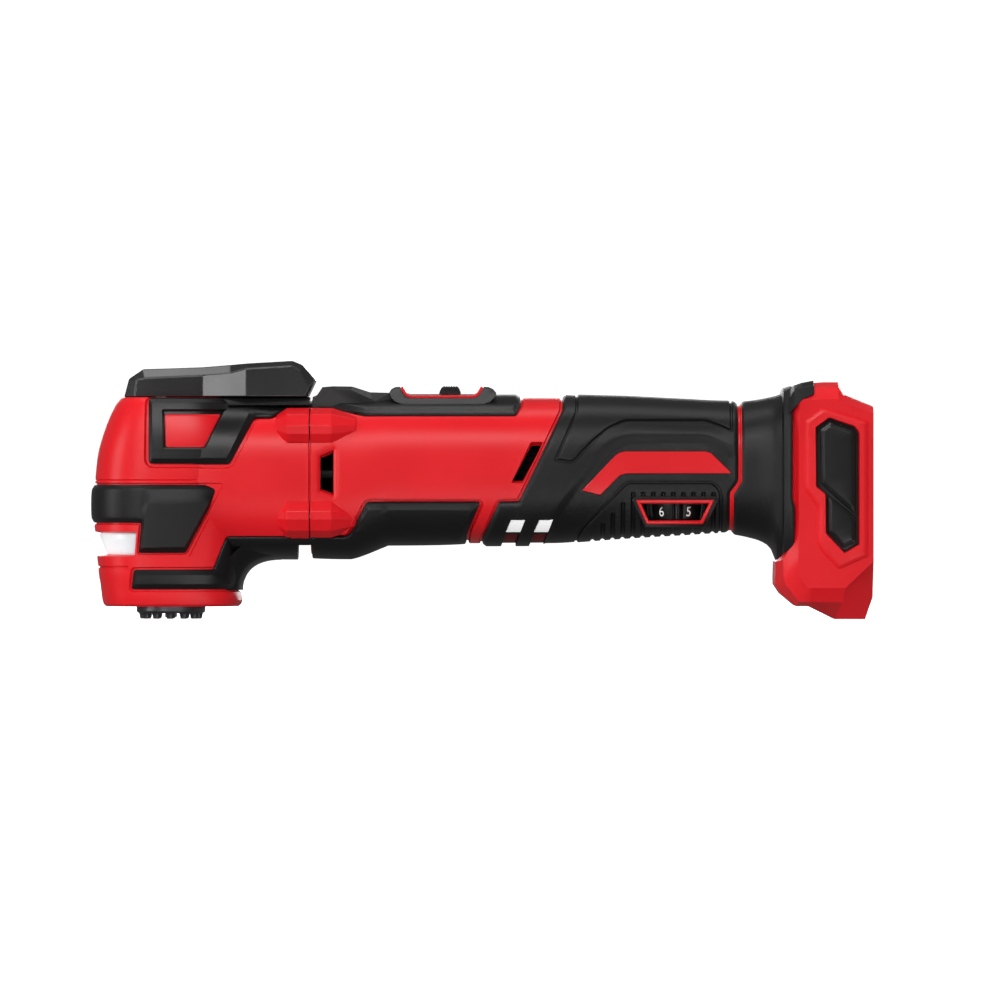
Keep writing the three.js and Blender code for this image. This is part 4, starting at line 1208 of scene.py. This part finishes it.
def make_lever():
    shape = Shape()
    rings = [lever_ring(-1, False), lever_ring(-1, True), lever_ring(1, True), lever_ring(1, False)]
    verts, faces = lofted([ring[::-1] for ring in rings], close_ends=False, closed=False)
    shape.add(verts, [face for face in faces if not is_lever_front(verts, face)])
    shape.add(*lever_front(rings[1][0], rings[2][0], rings[1][1], rings[2][1]))
    for side, points in ((-1, rings[0]), (1, rings[3])):
        low = [(-85.8, side * 18.4, 81.1), (-101.8, side * 15.5, 81.05)]
        shape.add(points + low, side_faces(points + low, side))
    make_piece("lever_cover", shape, [LEVER_GREY], "lever", ["lever"], 0.45, thickness=2.0,
               flattest=7)
    make_cam()


def make_cam():
    """The round cam inside the lever, displaced from its pivot, and the lever's ribs."""
    angle = math.radians(130)
    throw, radius, flat_top = 1.58, 11.2, 88.6
    x, z = PIVOT[0] + throw * math.cos(angle), PIVOT[1] + throw * math.sin(angle)
    section = []
    for i in range(64):
        turn = -2 * math.pi * (i + 1) / 64
        section.append((x + radius * math.cos(turn), min(flat_top, z + radius * math.sin(turn))))
    cam = Shape().add(*lofted([[(x, y, z) for x, z in section] for y in (-7, -6.6, 6.6, 7)]))
    for x in (-100, -90, -80, -70):
        cam.add(*box(x - 0.8, x + 0.8, 12.75, 89.5, 83))
    make_piece("lever_cam", cam, [LEVER_GREY], "lever")


def is_lever_front(verts, face):
    corners = [verts[i] for i in face]
    return all(x < -128 for x, _, _ in corners) and {y > 0 for _, y, _ in corners} == {True, False}


def lever_front(low_left, low_right, top_left, top_right):
    """The nose of the lever, with a notch in its lower edge that clears the plunger as it opens."""
    half, height = 7.4, 85.0
    share = (height - low_left[2]) / (top_left[2] - low_left[2])
    x_notch = low_left[0] + share * (top_left[0] - low_left[0])
    verts = [
        low_left, (low_left[0], -half, low_left[2]), (x_notch, -half, height), (x_notch, half, height),
        (low_right[0], half, low_right[2]), low_right, top_right, top_left,
    ]
    return verts, [[0, 7, 2, 1], [2, 7, 6, 3], [4, 3, 6, 5]]


def side_faces(loop, side):
    """The side wall of the lever in three flat stretches, split where it flares."""
    names = list(range(len(loop)))
    top_front, top_rear, low_rear, low_front = 4, 6, len(loop) - 2, len(loop) - 1
    front = names[0:top_front + 1] + [low_front]
    middle = names[top_front:top_rear + 1] + [low_rear, low_front]
    rear = names[top_rear:low_rear] + [low_rear]
    faces = [front, middle, rear]
    return faces if side > 0 else [face[::-1] for face in faces]


def make_holder():
    shape = Shape()
    profile = [(5.0, 5.2), (5.0, 2.3), (5.3, 2.0), (11.6, 2.0), (12.2, 2.2), (12.6, 2.8), (12.6, 5.2)]
    shape.add(*turned(profile, (SPINDLE_X, 0), steps=72))
    for i in range(12):
        angle = i * math.pi / 6
        x, y = SPINDLE_X + 10.0 * math.cos(angle), 10.0 * math.sin(angle)
        pin = [(0.0, 2.4), (1.95, 2.4), (1.6, 1.7), (1.35, 0.35), (1.0, 0.02), (0.0, 0.0)]
        shape.add(*turned(pin, (x, y), steps=18, closed=False))
    make_piece("accessory_holder_ring", shape, [DARK_STEEL], "spindle", ["accessory_holder"])


# ---- what shows of the inside ----

NODE_LOOKS = (
    (BRIGHT_STEEL, ("gear_case", "spindle_bearing_upper", "spindle_bearing_lower", "motor_bearing_front",
        "motor_bearing_rear", "lever_pin", "rotor_shaft", "eccentric_bearing", "clamp_plunger",
        "terminal_blade_left", "terminal_blade_right")),
    (DARK_STEEL, ("lever_bracket", "spindle", "spindle_fork", "clamp_spring", "clamp_jaw_left",
        "clamp_jaw_right", "speed_pot")),
    (IRON, ("motor_stator", "rotor_core")),
    (BLACK, ("fan", "terminal_block", "microswitch")),
    (BOARD, ("control_board", "led_board")),
)


def dress_nodes():
    screws = [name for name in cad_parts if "screw" in name]
    for material, names in (*NODE_LOOKS, (DARK_STEEL, screws)):
        for name in names:
            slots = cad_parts[name].data.materials
            slots.clear()
            slots.append(material)


# ---- stage ----

def make_stage():
    """A wide white bowl: a flat floor that curves up into a wall all round."""
    profile = [(0.0, 0.0), (5.0, 0.0)]
    profile += [(5.0 + 2 * math.sin(a), 2 - 2 * math.cos(a)) for a in np.linspace(0, math.pi / 2, 16)[1:]]
    profile += [(7.0, 8.0)]
    verts, faces = turned(profile, (0, 0), steps=96, closed=False)
    mesh = bpy.data.meshes.new("backdrop")
    mesh.from_pydata(verts, [], faces)
    mesh.shade_smooth()
    white = bpy.data.materials.new("white_paper")
    white.use_nodes = True
    shader = white.node_tree.nodes["Principled BSDF"]
    set_inputs(shader, Base_Color=(0.9, 0.9, 0.9, 1), Roughness=0.9)
    set_inputs(shader, Emission_Color=(1, 1, 1, 1), Emission_Strength=0.95)
    mesh.materials.append(white)
    backdrop = bpy.data.objects.new("backdrop", mesh)
    bpy.context.scene.collection.objects.link(backdrop)
    backdrop.visible_diffuse = False
    backdrop.visible_glossy = False
    backdrop.visible_shadow = False


def add_light(name, position, size, energy, target=(0, 0, 0.045)):
    light = bpy.data.lights.new(name, "AREA")
    light.shape = "RECTANGLE"
    light.size, light.size_y = size
    light.energy = energy
    lamp = bpy.data.objects.new(name, light)
    lamp.location = position
    lamp.visible_camera = False
    lamp.rotation_euler = (Vector(target) - Vector(position)).to_track_quat("-Z", "Y").to_euler()
    bpy.context.scene.collection.objects.link(lamp)


def make_lights():
    world = bpy.data.worlds.new("studio")
    world.use_nodes = True
    set_inputs(world.node_tree.nodes["Background"], Color=(1, 1, 1, 1), Strength=0.17)
    bpy.context.scene.world = world
    bpy.context.scene.view_settings.view_transform = "Standard"
    add_light("key", (-0.3, -1.5, 0.95), (1.5, 0.25), 17)
    add_light("top", (0.0, 0.05, 1.4), (1.8, 0.4), 9)
    add_light("strip", (-0.85, -1.8, 0.15), (0.35, 0.9), 7, target=(-0.09, 0, 0.06))
    add_light("left", (-1.8, -0.55, 0.3), (0.6, 1.0), 11)
    add_light("low", (0.5, -1.6, -0.5), (1.4, 0.3), 7)
    add_light("back", (0.3, 1.9, 0.35), (1.8, 0.5), 12)
    add_light("end", (1.8, 0.2, 0.4), (0.6, 0.8), 4)


def make_camera():
    """A level camera to the left, far back behind a long lens, with width metres of the near side in view."""
    lens = bpy.data.cameras.new("camera")
    lens.lens = 400
    lens.sensor_width = 36
    lens.clip_end = 20
    camera = bpy.data.objects.new("camera", lens)
    middle, width = (0.00675, 0.0434), 0.365
    near_side = 0.013
    camera.location = (middle[0], -near_side - width * lens.lens / lens.sensor_width, middle[1])
    camera.rotation_euler = (math.pi / 2, 0, 0)
    bpy.context.scene.collection.objects.link(camera)
    bpy.context.scene.camera = camera


make_lights()
make_camera()
make_stage()
dress_nodes()
make_shells()
make_crown()
make_lower_strip()
make_bumper()
make_lens()
make_handle()
make_dial()
make_switch()
make_lever()
make_holder()
